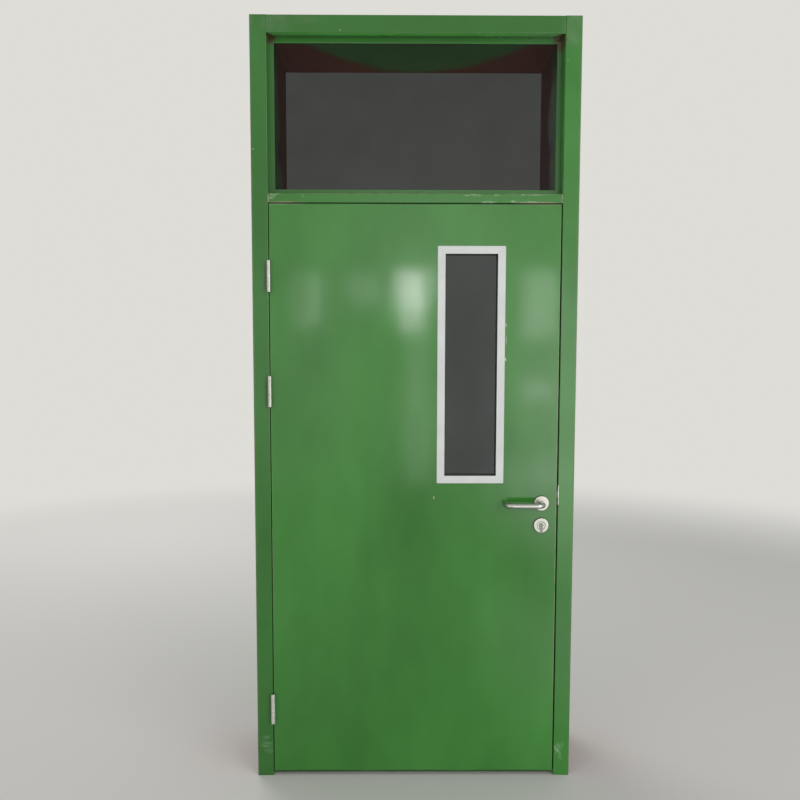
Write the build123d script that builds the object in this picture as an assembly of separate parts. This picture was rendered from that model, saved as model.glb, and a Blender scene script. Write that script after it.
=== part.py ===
from build123d import *
import os

# A steel classroom door in its frame. Sizes are in millimetres.
# X runs to the right for someone facing the front, Y runs from the front to the back, Z runs up.
# The origin lies on the floor, in the middle of the whole assembly.

# Frame
frame_width = 1140
frame_height = 2700
frame_depth = 360
frame_sheet = 1.5
frame_bend = 1.0
jamb_face = 57.5
head_face = 60
rebate_depth = 52
stop_height = 19
return_lip = 14
bar_face = 32
bar_depth = 100

# Leaf
leaf_thickness = 45
leaf_height = 2052
floor_gap = 14
head_gap = 3
hinge_gap = 3
lock_gap = 4
skin_sheet = 1.0
channel_sheet = 1.2
channel_flange = 20

# Hinges, placed by their middles from the leaf's ends
top_hinge_from_top = 251
middle_hinge_from_top = 654
bottom_hinge_from_bottom = 242
hinge_length = 112
knuckle_radius = 7.5
knuckle_count = 5
pin_radius = 3.95
running_clearance = 0.05
knuckle_clearance = 0.3
ring_height = 2
ring_slack = 0.1
tip_height = 3
barrel_standoff = 1.0
plate_thickness = 3
plate_width = 34
plate_screw_depths = [11, 25, 25, 11]
plate_screw_heights = [-38, -13, 13, 38]
backplate_thickness = 5
backplate_margin = 14
mortise_clearance = 0.2

# Lock and furniture
backset = 55
spindle_height = 1013
cylinder_drop = 80
latch_rise = 29
deadbolt_drop = 48
latch_throw = 12
deadbolt_throw = 20
rose_radius = 27
rose_thickness = 8
rose_edge = 2.5
lever_reach = 64
lever_radius = 9.5
lever_length = 129
lever_bend = 22
lever_end_gap = 10
lever_bore_clearance = 0.5
spindle_side = 8
spindle_clearance = 0.1
bolt_offset = 19
bolt_radius = 2
bolt_depth = 5
case_depth = 85
case_thickness = 15
case_wall = 1.5
case_above_latch = 23
case_below_cylinder = 33
forend_width = 22
forend_length = 240
forend_thickness = 3
forend_screw_inset = 10

# Vision panel, given by its clear opening. Its middle is placed from the lock edge, its top from the leaf's top.
vision_width = 184
vision_height = 783
vision_from_lock_edge = 311
vision_from_top = 171.5
trim_width = 27
trim_thickness = 3
trim_leg = 1.5
gasket_wall = 3
gasket_lip = 3.5
glass_thickness = 6
glass_bite = 12
liner_flange = 25

# Transom light
bead_leg = 16
bead_sheet = 1.5
bead_corner = 15
glazing_tape = 1
glass_edge_gap = 3

# Strike
strike_length = 205
strike_width = 33
strike_lip_length = 69
strike_lip_proud = 1.5
strike_thickness = 3
strike_hole_gap = 1.5
strike_box_depth = 24

# Fixings
sleeve_radius = 9
sleeve_bore = 5.5
sleeve_depths = [110, 300]
sleeve_from_floor = 300
sleeve_from_top = 400
screw_radius = 2.4
screw_head_radius = 4.8
screw_head_height = 2.4
screw_length = 13
screw_hole_clearance = 0.1
drive_width = 0.9
drive_length = 5
drive_depth = 1.2

# Door seal
seal_width = 11
seal_gap = 0.3
seal_inset = 3

# Places that follow from the sizes above
face = (lever_reach - frame_depth) / 2
back = face + frame_depth
stop = face + rebate_depth
leaf_back = face + leaf_thickness
leaf_middle = face + leaf_thickness / 2
outer_left = -frame_width / 2
outer_right = frame_width / 2
rebate_left = outer_left + jamb_face
rebate_right = outer_right - jamb_face
stop_left = rebate_left + stop_height
stop_right = rebate_right - stop_height
leaf_left = rebate_left + hinge_gap
leaf_right = rebate_right - lock_gap
leaf_bottom = floor_gap
leaf_top = floor_gap + leaf_height
bar_bottom = leaf_top + head_gap
bar_top = bar_bottom + bar_face
head_bottom = frame_height - head_face
skin_front = face + skin_sheet
skin_back = leaf_back - skin_sheet
core_left = leaf_left + skin_sheet
core_right = leaf_right - skin_sheet

hinge_middles = {
    "bottom": leaf_bottom + bottom_hinge_from_bottom,
    "middle": leaf_top - middle_hinge_from_top,
    "top": leaf_top - top_hinge_from_top,
}
hinge_x = (rebate_left + leaf_left) / 2
hinge_y = face - knuckle_radius - barrel_standoff
bore_radius = pin_radius + running_clearance
barrel_length = hinge_length - 2 * tip_height
knuckle_length = (barrel_length - (knuckle_count - 1) * ring_height) / knuckle_count

spindle_x = leaf_right - backset
cylinder_height = spindle_height - cylinder_drop
latch_height = spindle_height + latch_rise
deadbolt_height = spindle_height - deadbolt_drop
lever_line = face - lever_reach + lever_radius
forend_back = leaf_right - forend_thickness
case_left = forend_back - case_depth
case_front = leaf_middle - case_thickness / 2
case_back = leaf_middle + case_thickness / 2
case_top = latch_height + case_above_latch
case_bottom = cylinder_height - case_below_cylinder
forend_middle = (case_top + case_bottom) / 2
forend_top = forend_middle + forend_length / 2
forend_bottom = forend_middle - forend_length / 2
pocket_left = case_left - 3
pocket_top = forend_top + 20
pocket_bottom = forend_bottom - 20

vision_x = leaf_right - vision_from_lock_edge
vision_z = leaf_top - vision_from_top - vision_height / 2
glass_front = leaf_middle - glass_thickness / 2
glass_back = leaf_middle + glass_thickness / 2

trunnion = barrel_length / 2 + backplate_margin
parts_folder = "parts"


# A box between two limits along each axis.
def block(x, y, z):
    middle = Pos((x[0] + x[1]) / 2, (y[0] + y[1]) / 2, (z[0] + z[1]) / 2)
    return middle * Box(x[1] - x[0], y[1] - y[0], z[1] - z[0])


def rod_x(y, z, radius, start, end):
    return Pos((start + end) / 2, y, z) * Rot(0, 90, 0) * Cylinder(radius, end - start)


def rod_y(x, z, radius, start, end):
    return Pos(x, (start + end) / 2, z) * Rot(90, 0, 0) * Cylinder(radius, end - start)


def rod_z(x, y, radius, start, end):
    return Pos(x, y, (start + end) / 2) * Cylinder(radius, end - start)


# A rectangular ring on the leaf, whose opening is the vision panel's clear opening grown by inner.
def vision_ring(inner, outer, y):
    solid = vision_block(outer, y)
    return solid - vision_block(inner, (y[0] - 1, y[1] + 1))


def vision_block(margin, y):
    half_x = vision_width / 2 + margin
    half_z = vision_height / 2 + margin
    x = (vision_x - half_x, vision_x + half_x)
    z = (vision_z - half_z, vision_z + half_z)
    return block(x, y, z)


def direction(start, end):
    return (Vector(*end) - Vector(*start)).normalized()


def left_of(along):
    return Vector(-along.Y, along.X)


# The far side of a sheet of metal whose visible side is the line. The metal lies to the left of the line.
def hidden_line(line, thickness, closed):
    moved = []
    for i, point in enumerate(line):
        before = line[i - 1] if closed or i > 0 else None
        after = line[(i + 1) % len(line)] if closed or i < len(line) - 1 else None
        ahead = direction(point, after) if after else direction(before, point)
        behind = direction(before, point) if before else ahead
        both = left_of(ahead) + left_of(behind)
        step = both * (thickness / (1 + ahead.dot(behind)))
        moved.append((point[0] + step.X, point[1] + step.Y))
    return moved


# Radii of the two sides of the sheet at every fold.
def fold_radii(line, thickness, bend, closed):
    visible = []
    hidden = []
    corners = range(len(line)) if closed else range(1, len(line) - 1)
    for i in corners:
        turn = direction(line[i - 1], line[i]).cross(direction(line[i], line[(i + 1) % len(line)])).Z
        visible.append(bend + thickness if turn > 0 else bend)
        hidden.append(bend if turn > 0 else bend + thickness)
    return visible, hidden


# The section of a sheet folded along an open line.
def folded_section(line, thickness, bend):
    visible_radii, hidden_radii = fold_radii(line, thickness, bend, False)
    hidden = hidden_line(line, thickness, False)
    visible_side = FilletPolyline(*line, radius=visible_radii)
    hidden_side = FilletPolyline(*hidden, radius=hidden_radii)
    first = Line(line[0], hidden[0])
    last = Line(line[-1], hidden[-1])
    return make_face(visible_side.edges() + last.edges() + hidden_side.edges() + first.edges())


# The section of a sheet folded and welded into a tube.
def tube_section(line, thickness, bend):
    visible_radii, hidden_radii = fold_radii(line, thickness, bend, True)
    hidden = hidden_line(line, thickness, True)
    outside = make_face(FilletPolyline(*line, radius=visible_radii, close=True))
    inside = make_face(FilletPolyline(*hidden, radius=hidden_radii, close=True))
    return outside - inside


# Sections drawn in plan are raised along Z, and sections drawn looking along X run along X.
def raise_section(section, bottom, top):
    return extrude(Pos(0, 0, bottom) * section, amount=top - bottom)


def run_section(section, left, right):
    return extrude(Plane.YZ.offset(left) * section, amount=right - left)


def mirror_x(solid):
    return mirror(solid, about=Plane.YZ)


def mirror_leaf(solid):
    return mirror(solid, about=Plane(origin=(0, leaf_middle, 0), x_dir=(1, 0, 0), z_dir=(0, 1, 0)))


# A countersunk screw that points down, with the top of its head at the origin.
def countersunk(radius, head_radius, head_height, length):
    head = Pos(0, 0, -head_height / 2) * Cone(radius, head_radius, head_height)
    return head + Pos(0, 0, -(head_height + length) / 2) * Cylinder(radius, length - head_height)


def drive_slots():
    slot = Pos(0, 0, -drive_depth / 2) * Box(drive_length, drive_width, drive_depth)
    return slot + Rot(0, 0, 90) * slot


def screw(length=screw_length):
    body = countersunk(screw_radius, screw_head_radius, screw_head_height, length)
    return body - drive_slots()


def screw_hole(length=screw_length):
    radius = screw_radius + screw_hole_clearance
    head_radius = screw_head_radius + screw_hole_clearance
    return countersunk(radius, head_radius, screw_head_height, length + 1)


# Turns a screw so that its head looks along an axis.
head_towards = {
    "right": Rot(0, 90, 0),
    "left": Rot(0, -90, 0),
    "front": Rot(90, 0, 0),
    "back": Rot(-90, 0, 0),
}


def hinge_screw_places(middle):
    depths_and_heights = zip(plate_screw_depths, plate_screw_heights)
    return [(face + depth, middle + height) for depth, height in depths_and_heights]


# The two sheets of the frame's long members share this line, from the front lip to the back lip.
def jamb_section():
    line = [
        (outer_left, face + return_lip),
        (outer_left, face),
        (rebate_left, face),
        (rebate_left, stop),
        (stop_left, stop),
        (stop_left, back),
        (outer_left, back),
        (outer_left, back - return_lip),
    ]
    return folded_section(line, frame_sheet, frame_bend)


def sleeve_places():
    low = sleeve_from_floor
    high = frame_height - sleeve_from_top
    return [(face + depth, height) for depth in sleeve_depths for height in (low, (low + high) / 2, high)]


def plain_jamb():
    jamb = raise_section(jamb_section(), 0, frame_height)
    for y, z in sleeve_places():
        jamb -= rod_x(y, z, sleeve_bore, outer_left, stop_left + 1)
    for y, z in bead_screw_side_places():
        jamb -= rod_x(y, z, bead_hole_radius(), rebate_left - 2 * frame_sheet, rebate_left + 1)
    return jamb


def hinge_mortise(side_x, inward, middle):
    half = barrel_length / 2 + mortise_clearance
    depth = side_x + inward * plate_thickness
    x = sorted([side_x - inward, depth])
    return block(x, (face - 1, face + plate_width + mortise_clearance), (middle - half, middle + half))


def jamb_hinge_side():
    jamb = plain_jamb()
    for middle in hinge_middles.values():
        jamb -= hinge_mortise(rebate_left, -1, middle)
    return jamb


def jamb_lock_side():
    jamb = mirror_x(plain_jamb())
    jamb -= strike_outline(mortise_clearance)
    return jamb


def wall_fixing_sleeves():
    sleeves = []
    for y, z in sleeve_places():
        inner_end = stop_left - frame_sheet
        tube = rod_x(y, z, sleeve_radius, outer_left, inner_end)
        tube -= rod_x(y, z, sleeve_bore, outer_left, inner_end)
        sleeves += [tube, mirror_x(tube)]
    return sleeves


# The head and the bar end on the jambs' rebates, and behind the stop on the jambs' inner faces.
# Small notches clear the round inside of the jambs' folds.
def trim_to_jambs(member, low, high):
    z = (low, high)
    for x in [(rebate_left - 1, stop_left), (stop_right, rebate_right + 1)]:
        member -= block(x, (stop, back + 1), z)
    for x in [(rebate_left, rebate_left + frame_bend), (rebate_right - frame_bend, rebate_right)]:
        member -= block(x, (stop - frame_bend, stop), z)
    return member


def frame_head():
    line = [
        (face + return_lip, frame_height),
        (face, frame_height),
        (face, head_bottom),
        (stop, head_bottom),
        (stop, head_bottom - stop_height),
        (back, head_bottom - stop_height),
        (back, frame_height),
        (back - return_lip, frame_height),
    ]
    section = folded_section(line, frame_sheet, frame_bend)
    head = run_section(section, rebate_left, rebate_right)
    for x in bead_screw_line_places():
        head -= rod_z(x, bead_screw_depth(), bead_hole_radius(), head_bottom - 1, head_bottom + 2 * frame_sheet)
    return trim_to_jambs(head, head_bottom - stop_height - 1, frame_height + 1)


def transom_bar():
    rear = face + bar_depth
    line = [
        (face, bar_bottom),
        (face, bar_top),
        (stop, bar_top),
        (stop, bar_top + stop_height),
        (rear, bar_top + stop_height),
        (rear, bar_bottom - stop_height),
        (stop, bar_bottom - stop_height),
        (stop, bar_bottom),
    ]
    line.reverse()
    bar = run_section(tube_section(line, frame_sheet, frame_bend), rebate_left, rebate_right)
    for x in bead_screw_line_places():
        bar -= rod_z(x, bead_screw_depth(), bead_hole_radius(), bar_top - 2 * frame_sheet, bar_top + 1)
    return trim_to_jambs(bar, bar_bottom - stop_height - 1, bar_top + stop_height + 1)


# Fixed glass above the bar lies in the rebate, between tape on the stop and angle beads in front.
def transom_glass_front():
    return stop - glazing_tape - glass_thickness


def transom_glass():
    x = (rebate_left + glass_edge_gap, rebate_right - glass_edge_gap)
    y = (transom_glass_front(), stop - glazing_tape)
    z = (bar_top + glass_edge_gap, head_bottom - glass_edge_gap)
    return block(x, y, z)


def transom_glazing_tape():
    y = (stop - glazing_tape, stop)
    x = (rebate_left + glass_edge_gap, rebate_right - glass_edge_gap)
    z = (bar_top + glass_edge_gap, head_bottom - glass_edge_gap)
    hole_x = (stop_left, stop_right)
    hole_z = (bar_top + stop_height, head_bottom - stop_height)
    return block(x, y, z) - block(hole_x, (y[0] - 1, y[1] + 1), hole_z)


# The beads' short leg lies on the rebate and takes the screws, the tall leg holds the glass.
def lying_bead(rebate_z, into_opening):
    front = transom_glass_front()
    tall = sorted([rebate_z, rebate_z + into_opening * (stop_height + bead_sheet / 2)])
    flat = sorted([rebate_z, rebate_z + into_opening * bead_sheet])
    bead = block((rebate_left, rebate_right), (front - bead_sheet, front), tall)
    x = (rebate_left + bead_corner, rebate_right - bead_corner)
    bead += block(x, (front - bead_leg, front - bead_sheet), flat)
    for place in bead_screw_line_places():
        bead -= rod_z(place, bead_screw_depth(), bead_hole_radius(), flat[0], flat[1])
    return bead


def transom_bead_bottom():
    return lying_bead(bar_top, 1)


def transom_bead_top():
    return lying_bead(head_bottom, -1)


def transom_bead_hinge_side():
    front = transom_glass_front()
    tall_height = stop_height + bead_sheet / 2
    z = (bar_top + tall_height, head_bottom - tall_height)
    bead = block((rebate_left, rebate_left + tall_height), (front - bead_sheet, front), z)
    flat = (rebate_left, rebate_left + bead_sheet)
    bead += block(flat, (front - bead_leg, front - bead_sheet), z)
    for y, height in bead_screw_side_places():
        bead -= rod_x(y, height, bead_hole_radius(), flat[0], flat[1])
    return bead


def transom_bead_lock_side():
    return mirror_x(transom_bead_hinge_side())


bead_screw_radius = 1.6
bead_screw_head = 3.2
bead_screw_head_height = 1.8
bead_screw_length = 9
bead_screw_inset = 110


def bead_hole_radius():
    return bead_screw_radius + screw_hole_clearance


def bead_screw_depth():
    return transom_glass_front() - (bead_leg + bead_sheet) / 2


def bead_screw_line_places():
    half = (rebate_right - rebate_left) / 2 - bead_screw_inset
    return [-half, -half / 3, half / 3, half]


def bead_screw_side_places():
    low = bar_top + bead_screw_inset
    high = head_bottom - bead_screw_inset
    return [(bead_screw_depth(), low), (bead_screw_depth(), high)]


# A pan-head screw that points down, with its head standing on the origin.
def pan_screw():
    head = Pos(0, 0, bead_screw_head_height / 2) * Cylinder(bead_screw_head, bead_screw_head_height)
    top = head.edges().sort_by(Axis.Z)[-1]
    head = fillet(top, bead_screw_head_height / 2)
    return head + Pos(0, 0, -bead_screw_length / 2) * Cylinder(bead_screw_radius, bead_screw_length)


def transom_bead_screws():
    screws = []
    for x in bead_screw_line_places():
        screws.append(Pos(x, bead_screw_depth(), bar_top + bead_sheet) * pan_screw())
        screws.append(Pos(x, bead_screw_depth(), head_bottom - bead_sheet) * Rot(180, 0, 0) * pan_screw())
    for y, z in bead_screw_side_places():
        side = Pos(rebate_left + bead_sheet, y, z) * Rot(0, 90, 0) * pan_screw()
        screws += [side, mirror_x(side)]
    return screws


# A rubber strip on the stop, with a rounded nose that the leaf closes on.
def seal_section(corners):
    nose = (rebate_depth - leaf_thickness - seal_gap) * 0.45
    outline = FilletPolyline(*corners, radius=nose)
    return make_face(outline.edges() + Line(corners[-1], corners[0]).edges())


def door_seal_hinge_side():
    near = rebate_left + seal_inset
    far = near + seal_width
    nose = leaf_back + seal_gap
    section = seal_section([(near, stop), (near, nose), (far, nose), (far, stop)])
    return raise_section(section, leaf_bottom, bar_bottom - seal_inset)


def door_seal_lock_side():
    return mirror_x(door_seal_hinge_side())


def door_seal_head():
    high = bar_bottom - seal_inset
    low = high - seal_width
    nose = leaf_back + seal_gap
    section = seal_section([(stop, high), (nose, high), (nose, low), (stop, low)])
    side = rebate_left + seal_inset + seal_width
    return run_section(section, side, -side)


# Steel plates behind the sheet take the hinge screws. They are thicker at the rim, where they meet the sheet.
def backplate(sheet_x, inward, sheet, low_y, high_y, middle):
    near = sheet_x + inward * sheet
    far = near + inward * backplate_thickness
    seat = sheet_x + inward * plate_thickness
    plate = block(sorted([near, far]), (low_y, high_y), (middle - trunnion, middle + trunnion))
    half = barrel_length / 2 + mortise_clearance
    seat_y = (low_y - 1, face + plate_width + mortise_clearance)
    plate -= block(sorted([near - inward, seat]), seat_y, (middle - half, middle + half))
    for y, z in hinge_screw_places(middle):
        plate -= rod_x(y, z, screw_radius + screw_hole_clearance, *sorted([near, far]))
    return plate


def hinge_backplates_frame():
    y = (face + 2 * frame_sheet, stop - frame_sheet)
    return [backplate(rebate_left, -1, frame_sheet, *y, middle) for middle in hinge_middles.values()]


def hinge_backplates_leaf():
    y = (skin_front, skin_back)
    return [backplate(leaf_left, 1, skin_sheet, *y, middle) for middle in hinge_middles.values()]


def knuckle_bottom(middle, index):
    return middle - barrel_length / 2 + index * (knuckle_length + ring_height)


# Half a hinge: a flat plate and every other knuckle round the pin.
def hinge_half(middle, plate_x, first_knuckle):
    half = barrel_length / 2
    plate_y = (hinge_y + bore_radius + 1, face + plate_width)
    plate = block(plate_x, plate_y, (middle - half, middle + half))
    plate -= rod_z(hinge_x, hinge_y, knuckle_radius + knuckle_clearance, middle - half - 1, middle + half + 1)
    root_y = (plate_y[0], hinge_y + knuckle_radius + barrel_standoff)
    for index in range(first_knuckle, knuckle_count, 2):
        low = knuckle_bottom(middle, index)
        high = low + knuckle_length
        plate += rod_z(hinge_x, hinge_y, knuckle_radius, low, high)
        plate += block(plate_x, root_y, (low, high))
    plate -= rod_z(hinge_x, hinge_y, bore_radius, middle - half, middle + half)
    return plate


def hinge_frame_half(middle):
    plate_x = (rebate_left - plate_thickness, rebate_left)
    half = hinge_half(middle, plate_x, 0)
    tip = Pos(hinge_x, hinge_y, middle - hinge_length / 2 + tip_height / 2) * Cylinder(knuckle_radius, tip_height)
    tip = fillet(tip.edges().sort_by(Axis.Z)[0], tip_height * 0.8)
    half += tip
    for y, z in hinge_screw_places(middle):
        half -= Pos(rebate_left, y, z) * head_towards["right"] * screw_hole()
    return half


def hinge_leaf_half(middle):
    plate_x = (leaf_left, leaf_left + plate_thickness)
    half = hinge_half(middle, plate_x, 1)
    for y, z in hinge_screw_places(middle):
        half -= Pos(leaf_left, y, z) * head_towards["left"] * screw_hole()
    return half


def hinge_pin(middle):
    bottom = middle - barrel_length / 2
    top = middle + barrel_length / 2
    cap = Pos(hinge_x, hinge_y, top + tip_height / 2) * Cylinder(knuckle_radius, tip_height)
    cap = fillet(cap.edges().sort_by(Axis.Z)[-1], tip_height * 0.8)
    return cap + rod_z(hinge_x, hinge_y, pin_radius, bottom, top)


def hinge_rings(middle):
    rings = []
    for index in range(knuckle_count - 1):
        low = knuckle_bottom(middle, index) + knuckle_length + ring_slack
        high = low + ring_height - 2 * ring_slack
        ring = rod_z(hinge_x, hinge_y, knuckle_radius - knuckle_clearance, low, high)
        rings.append(ring - rod_z(hinge_x, hinge_y, bore_radius + running_clearance, low, high))
    return rings


def hinge_bearing_rings():
    return [ring for middle in hinge_middles.values() for ring in hinge_rings(middle)]


def hinge_frame_screws():
    places = [place for middle in hinge_middles.values() for place in hinge_screw_places(middle)]
    return [Pos(rebate_left, y, z) * head_towards["right"] * screw() for y, z in places]


def hinge_leaf_screws():
    places = [place for middle in hinge_middles.values() for place in hinge_screw_places(middle)]
    return [Pos(leaf_left, y, z) * head_towards["left"] * screw() for y, z in places]


# The leaf: two skins, folded sharp, that meet on the middle of its edges round a core.
def front_pan():
    line = [
        (leaf_left, leaf_middle),
        (leaf_left, face),
        (leaf_right, face),
        (leaf_right, leaf_middle),
    ]
    return raise_section(folded_section(line, skin_sheet, 0), leaf_bottom, leaf_top)


skin_cut_clearance = 0.5


def cut_leaf_edges(skin):
    for middle in hinge_middles.values():
        skin -= hinge_mortise(leaf_left, 1, middle)
    x = (leaf_right - forend_thickness, leaf_right + 1)
    return skin - forend_outline(x, mortise_clearance)


def leaf_front_skin():
    skin = front_pan() - furniture_holes(face - 1, skin_front + 1)
    skin -= vision_block(vision_cut, (face - 1, skin_front + 1))
    return cut_leaf_edges(skin)


def leaf_back_skin():
    skin = mirror_leaf(front_pan()) - furniture_holes(skin_back - 1, leaf_back + 1)
    skin -= vision_block(vision_cut, (skin_back - 1, leaf_back + 1))
    for x, z in trim_screw_places():
        skin -= rod_y(x, z, screw_radius + screw_hole_clearance, skin_back - 1, leaf_back + 1)
    return cut_leaf_edges(skin)


# Holes through a skin for the lever, the cylinder and the bolts between the roses.
def furniture_holes(start, end):
    holes = rod_y(spindle_x, spindle_height, lever_radius + 2, start, end)
    holes += cylinder_profile(skin_cut_clearance, start, end)
    for x, z in through_bolt_places():
        holes += rod_y(x, z, bolt_radius + skin_cut_clearance, start, end)
    return holes


def end_channel(web_z, inward):
    line = [
        (skin_back, web_z + inward * channel_flange),
        (skin_back, web_z),
        (skin_front, web_z),
        (skin_front, web_z + inward * channel_flange),
    ]
    if inward > 0:
        line.reverse()
    return run_section(folded_section(line, channel_sheet, 0), core_left, core_right)


def leaf_top_channel():
    return end_channel(leaf_top, -1)


def leaf_bottom_channel():
    return end_channel(leaf_bottom, 1)


def lock_pocket():
    return block((pocket_left, core_right + 1), (face, leaf_back), (pocket_bottom, pocket_top))


screw_room = 16


def leaf_core():
    z = (leaf_bottom + channel_flange, leaf_top - channel_flange)
    core = block((core_left, core_right), (skin_front, skin_back), z)
    core -= lock_pocket()
    core -= vision_block(vision_cut + liner_flange, (face, leaf_back))
    for middle in hinge_middles.values():
        x = (core_left - 1, leaf_left + screw_room)
        core -= block(x, (face, leaf_back), (middle - trunnion, middle + trunnion))
    return core


# Vision panel. The cut through the leaf is larger than the glass, which is larger than the clear opening.
vision_cut_margin = 4
vision_cut = glass_bite + vision_cut_margin


def vision_opening_liner():
    liner = vision_ring(vision_cut, vision_cut + liner_flange, (skin_front, skin_back))
    inner_y = (skin_front + channel_sheet, skin_back - channel_sheet)
    liner -= vision_ring(vision_cut + channel_sheet, vision_cut + liner_flange + 1, inner_y)
    for x, z in trim_screw_places():
        liner -= rod_y(x, z, screw_radius + screw_hole_clearance, inner_y[1] - 1, skin_back + 1)
    return liner


def vision_glass():
    return vision_block(glass_bite, (glass_front, glass_back))


# The rubber lines the inside of each trim and laps over the glass.
def vision_gaskets():
    lip_front = glass_front - gasket_wall
    gasket = vision_ring(0, gasket_wall, (face, lip_front))
    gasket += vision_ring(-gasket_lip, glass_bite, (lip_front, glass_front))
    return [gasket, mirror_leaf(gasket)]


def plain_trim():
    flange = vision_block(trim_width, (face - trim_thickness, face))
    front_edges = flange.faces().sort_by(Axis.Y)[0].edges()
    flange = chamfer(front_edges, trim_thickness / 3)
    flange -= vision_block(0, (face - trim_thickness - 1, face + 1))
    leg = vision_ring(gasket_wall, gasket_wall + trim_leg, (face, glass_front - gasket_wall))
    return flange + leg


def vision_trim_front():
    return plain_trim()


# The back trim is screwed into the liner through the skin.
def vision_trim_back():
    trim = mirror_leaf(plain_trim())
    for x, z in trim_screw_places():
        trim -= Pos(x, leaf_back + trim_thickness, z) * head_towards["back"] * screw_hole()
    return trim


trim_screws_up = 4
trim_screw_inset = 60


def trim_screw_places():
    overlap_middle = (trim_width + vision_cut) / 2
    half_x = vision_width / 2 + overlap_middle
    half_z = vision_height / 2 + overlap_middle
    reach = vision_height / 2 - trim_screw_inset
    heights = [-reach + 2 * reach * i / (trim_screws_up - 1) for i in range(trim_screws_up)]
    places = [(vision_x + side * half_x, vision_z + z) for side in (-1, 1) for z in heights]
    return places + [(vision_x, vision_z + side * half_z) for side in (-1, 1)]


def vision_trim_screws():
    head = leaf_back + trim_thickness
    return [Pos(x, head, z) * head_towards["back"] * screw() for x, z in trim_screw_places()]


# The key cylinder's outline: a round top for the plug over a narrower round-ended foot.
cylinder_radius = 8.5
cylinder_foot_radius = 5
cylinder_foot_drop = 19.5
cylinder_proud = 7
plug_radius = 6.5
cam_radius = 15
cam_width = 9.6
cam_lobe = 8
keyway_width = 1.6
keyway_drop = 4.5
keyway_rise = 3.5
keyway_depth = 20


def cylinder_profile(clearance, start, end):
    foot = cylinder_height - cylinder_foot_drop
    half = cylinder_foot_radius + clearance
    profile = rod_y(spindle_x, cylinder_height, cylinder_radius + clearance, start, end)
    profile += block((spindle_x - half, spindle_x + half), (start, end), (foot, cylinder_height))
    return profile + rod_y(spindle_x, foot, half, start, end)


def lock_screw_height():
    return cylinder_height - cam_radius - screw_radius * 2.2


def cylinder_body():
    start = face - cylinder_proud
    end = leaf_back + cylinder_proud
    body = cylinder_profile(0, start, end)
    body -= rod_y(spindle_x, cylinder_height, plug_radius + running_clearance, start, end)
    half = cam_width / 2 + 0.4
    sweep_room = rod_y(spindle_x, cylinder_height, cam_radius + 0.6, leaf_middle - half, leaf_middle + half)
    body -= sweep_room
    radius = screw_radius + screw_hole_clearance
    return body - rod_x(leaf_middle, lock_screw_height(), radius, spindle_x - 10, spindle_x + 10)


# Plug and cam turn together. The keyway is a slot in the front end.
def cylinder_plug():
    start = face - cylinder_proud
    end = leaf_back + cylinder_proud
    plug = rod_y(spindle_x, cylinder_height, plug_radius, start, end)
    y = (leaf_middle - cam_width / 2, leaf_middle + cam_width / 2)
    plug += rod_y(spindle_x, cylinder_height, cylinder_radius, *y)
    half = cam_lobe / 2
    tip = cylinder_height - cam_radius + half
    plug += block((spindle_x - half, spindle_x + half), y, (tip, cylinder_height))
    plug += rod_y(spindle_x, tip, half, *y)
    half = keyway_width / 2
    z = (cylinder_height - keyway_drop, cylinder_height + keyway_rise)
    return plug - block((spindle_x - half, spindle_x + half), (start - 1, start + keyway_depth), z)


thumb_length = 30
thumb_width = 9
thumb_reach = 22


def thumb_turn():
    start = leaf_back + cylinder_proud
    base = rod_y(spindle_x, cylinder_height, cylinder_radius, start, start + 3)
    x = (spindle_x - thumb_width / 2, spindle_x + thumb_width / 2)
    z = (cylinder_height - thumb_length / 2, cylinder_height + thumb_length / 2)
    grip = block(x, (start + 3, start + thumb_reach), z)
    grip = fillet(grip.edges().filter_by(Axis.X), 5)
    return base + fillet(grip.edges().filter_by(Axis.Z), 2)


def through_bolt_places():
    heights = [spindle_height, cylinder_height]
    return [(spindle_x + side * bolt_offset, z) for side in (-1, 1) for z in heights]


def rose_through_bolts():
    start = face - bolt_depth
    end = leaf_back + bolt_depth
    return [rod_y(x, z, bolt_radius, start, end) for x, z in through_bolt_places()]


def plain_rose(height):
    rose = rod_y(spindle_x, height, rose_radius, face - rose_thickness, face)
    rose = fillet(rose.edges().sort_by(Axis.Y)[0], rose_edge)
    for side in (-1, 1):
        x = spindle_x + side * bolt_offset
        rose -= rod_y(x, height, bolt_radius + screw_hole_clearance, face - bolt_depth, face)
    return rose


def lever_rose_front():
    radius = lever_radius + lever_bore_clearance
    rose = plain_rose(spindle_height)
    return rose - rod_y(spindle_x, spindle_height, radius, face - rose_thickness - 1, face + 1)


def lever_rose_back():
    return mirror_leaf(lever_rose_front())


dish_radius = 15.5
dish_depth = 2.5
profile_clearance = 0.3


def cylinder_rose_front():
    rose = plain_rose(cylinder_height)
    front = face - rose_thickness
    dish = Pos(spindle_x, front + dish_depth / 2, cylinder_height) * Rot(90, 0, 0)
    rose -= dish * Cone(dish_radius - dish_depth, dish_radius, dish_depth)
    return rose - cylinder_profile(profile_clearance, front - 1, face + 1)


def cylinder_rose_back():
    return mirror_leaf(cylinder_rose_front())


# Lever: a round bar that leaves the rose, runs towards the hinges and returns to the leaf.
def lever_front():
    tip = spindle_x - lever_length
    neck = face - 1
    route = [
        (spindle_x, neck, spindle_height),
        (spindle_x, lever_line, spindle_height),
        (tip, lever_line, spindle_height),
        (tip, face - lever_end_gap, spindle_height),
    ]
    path = FilletPolyline(*route, radius=lever_bend)
    start = Plane(origin=route[0], x_dir=(1, 0, 0), z_dir=(0, -1, 0))
    lever = sweep(start * Circle(lever_radius), path=path)
    end = lever.faces().sort_by(Axis.X)[0:2].sort_by(Axis.Y)[-1]
    lever = fillet(end.edges(), 2)
    half = (spindle_side + spindle_clearance) / 2
    hole = block((spindle_x - half, spindle_x + half), (neck - spindle_depth, neck + 1),
                 (spindle_height - half, spindle_height + half))
    return lever - hole


spindle_depth = 26


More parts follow.
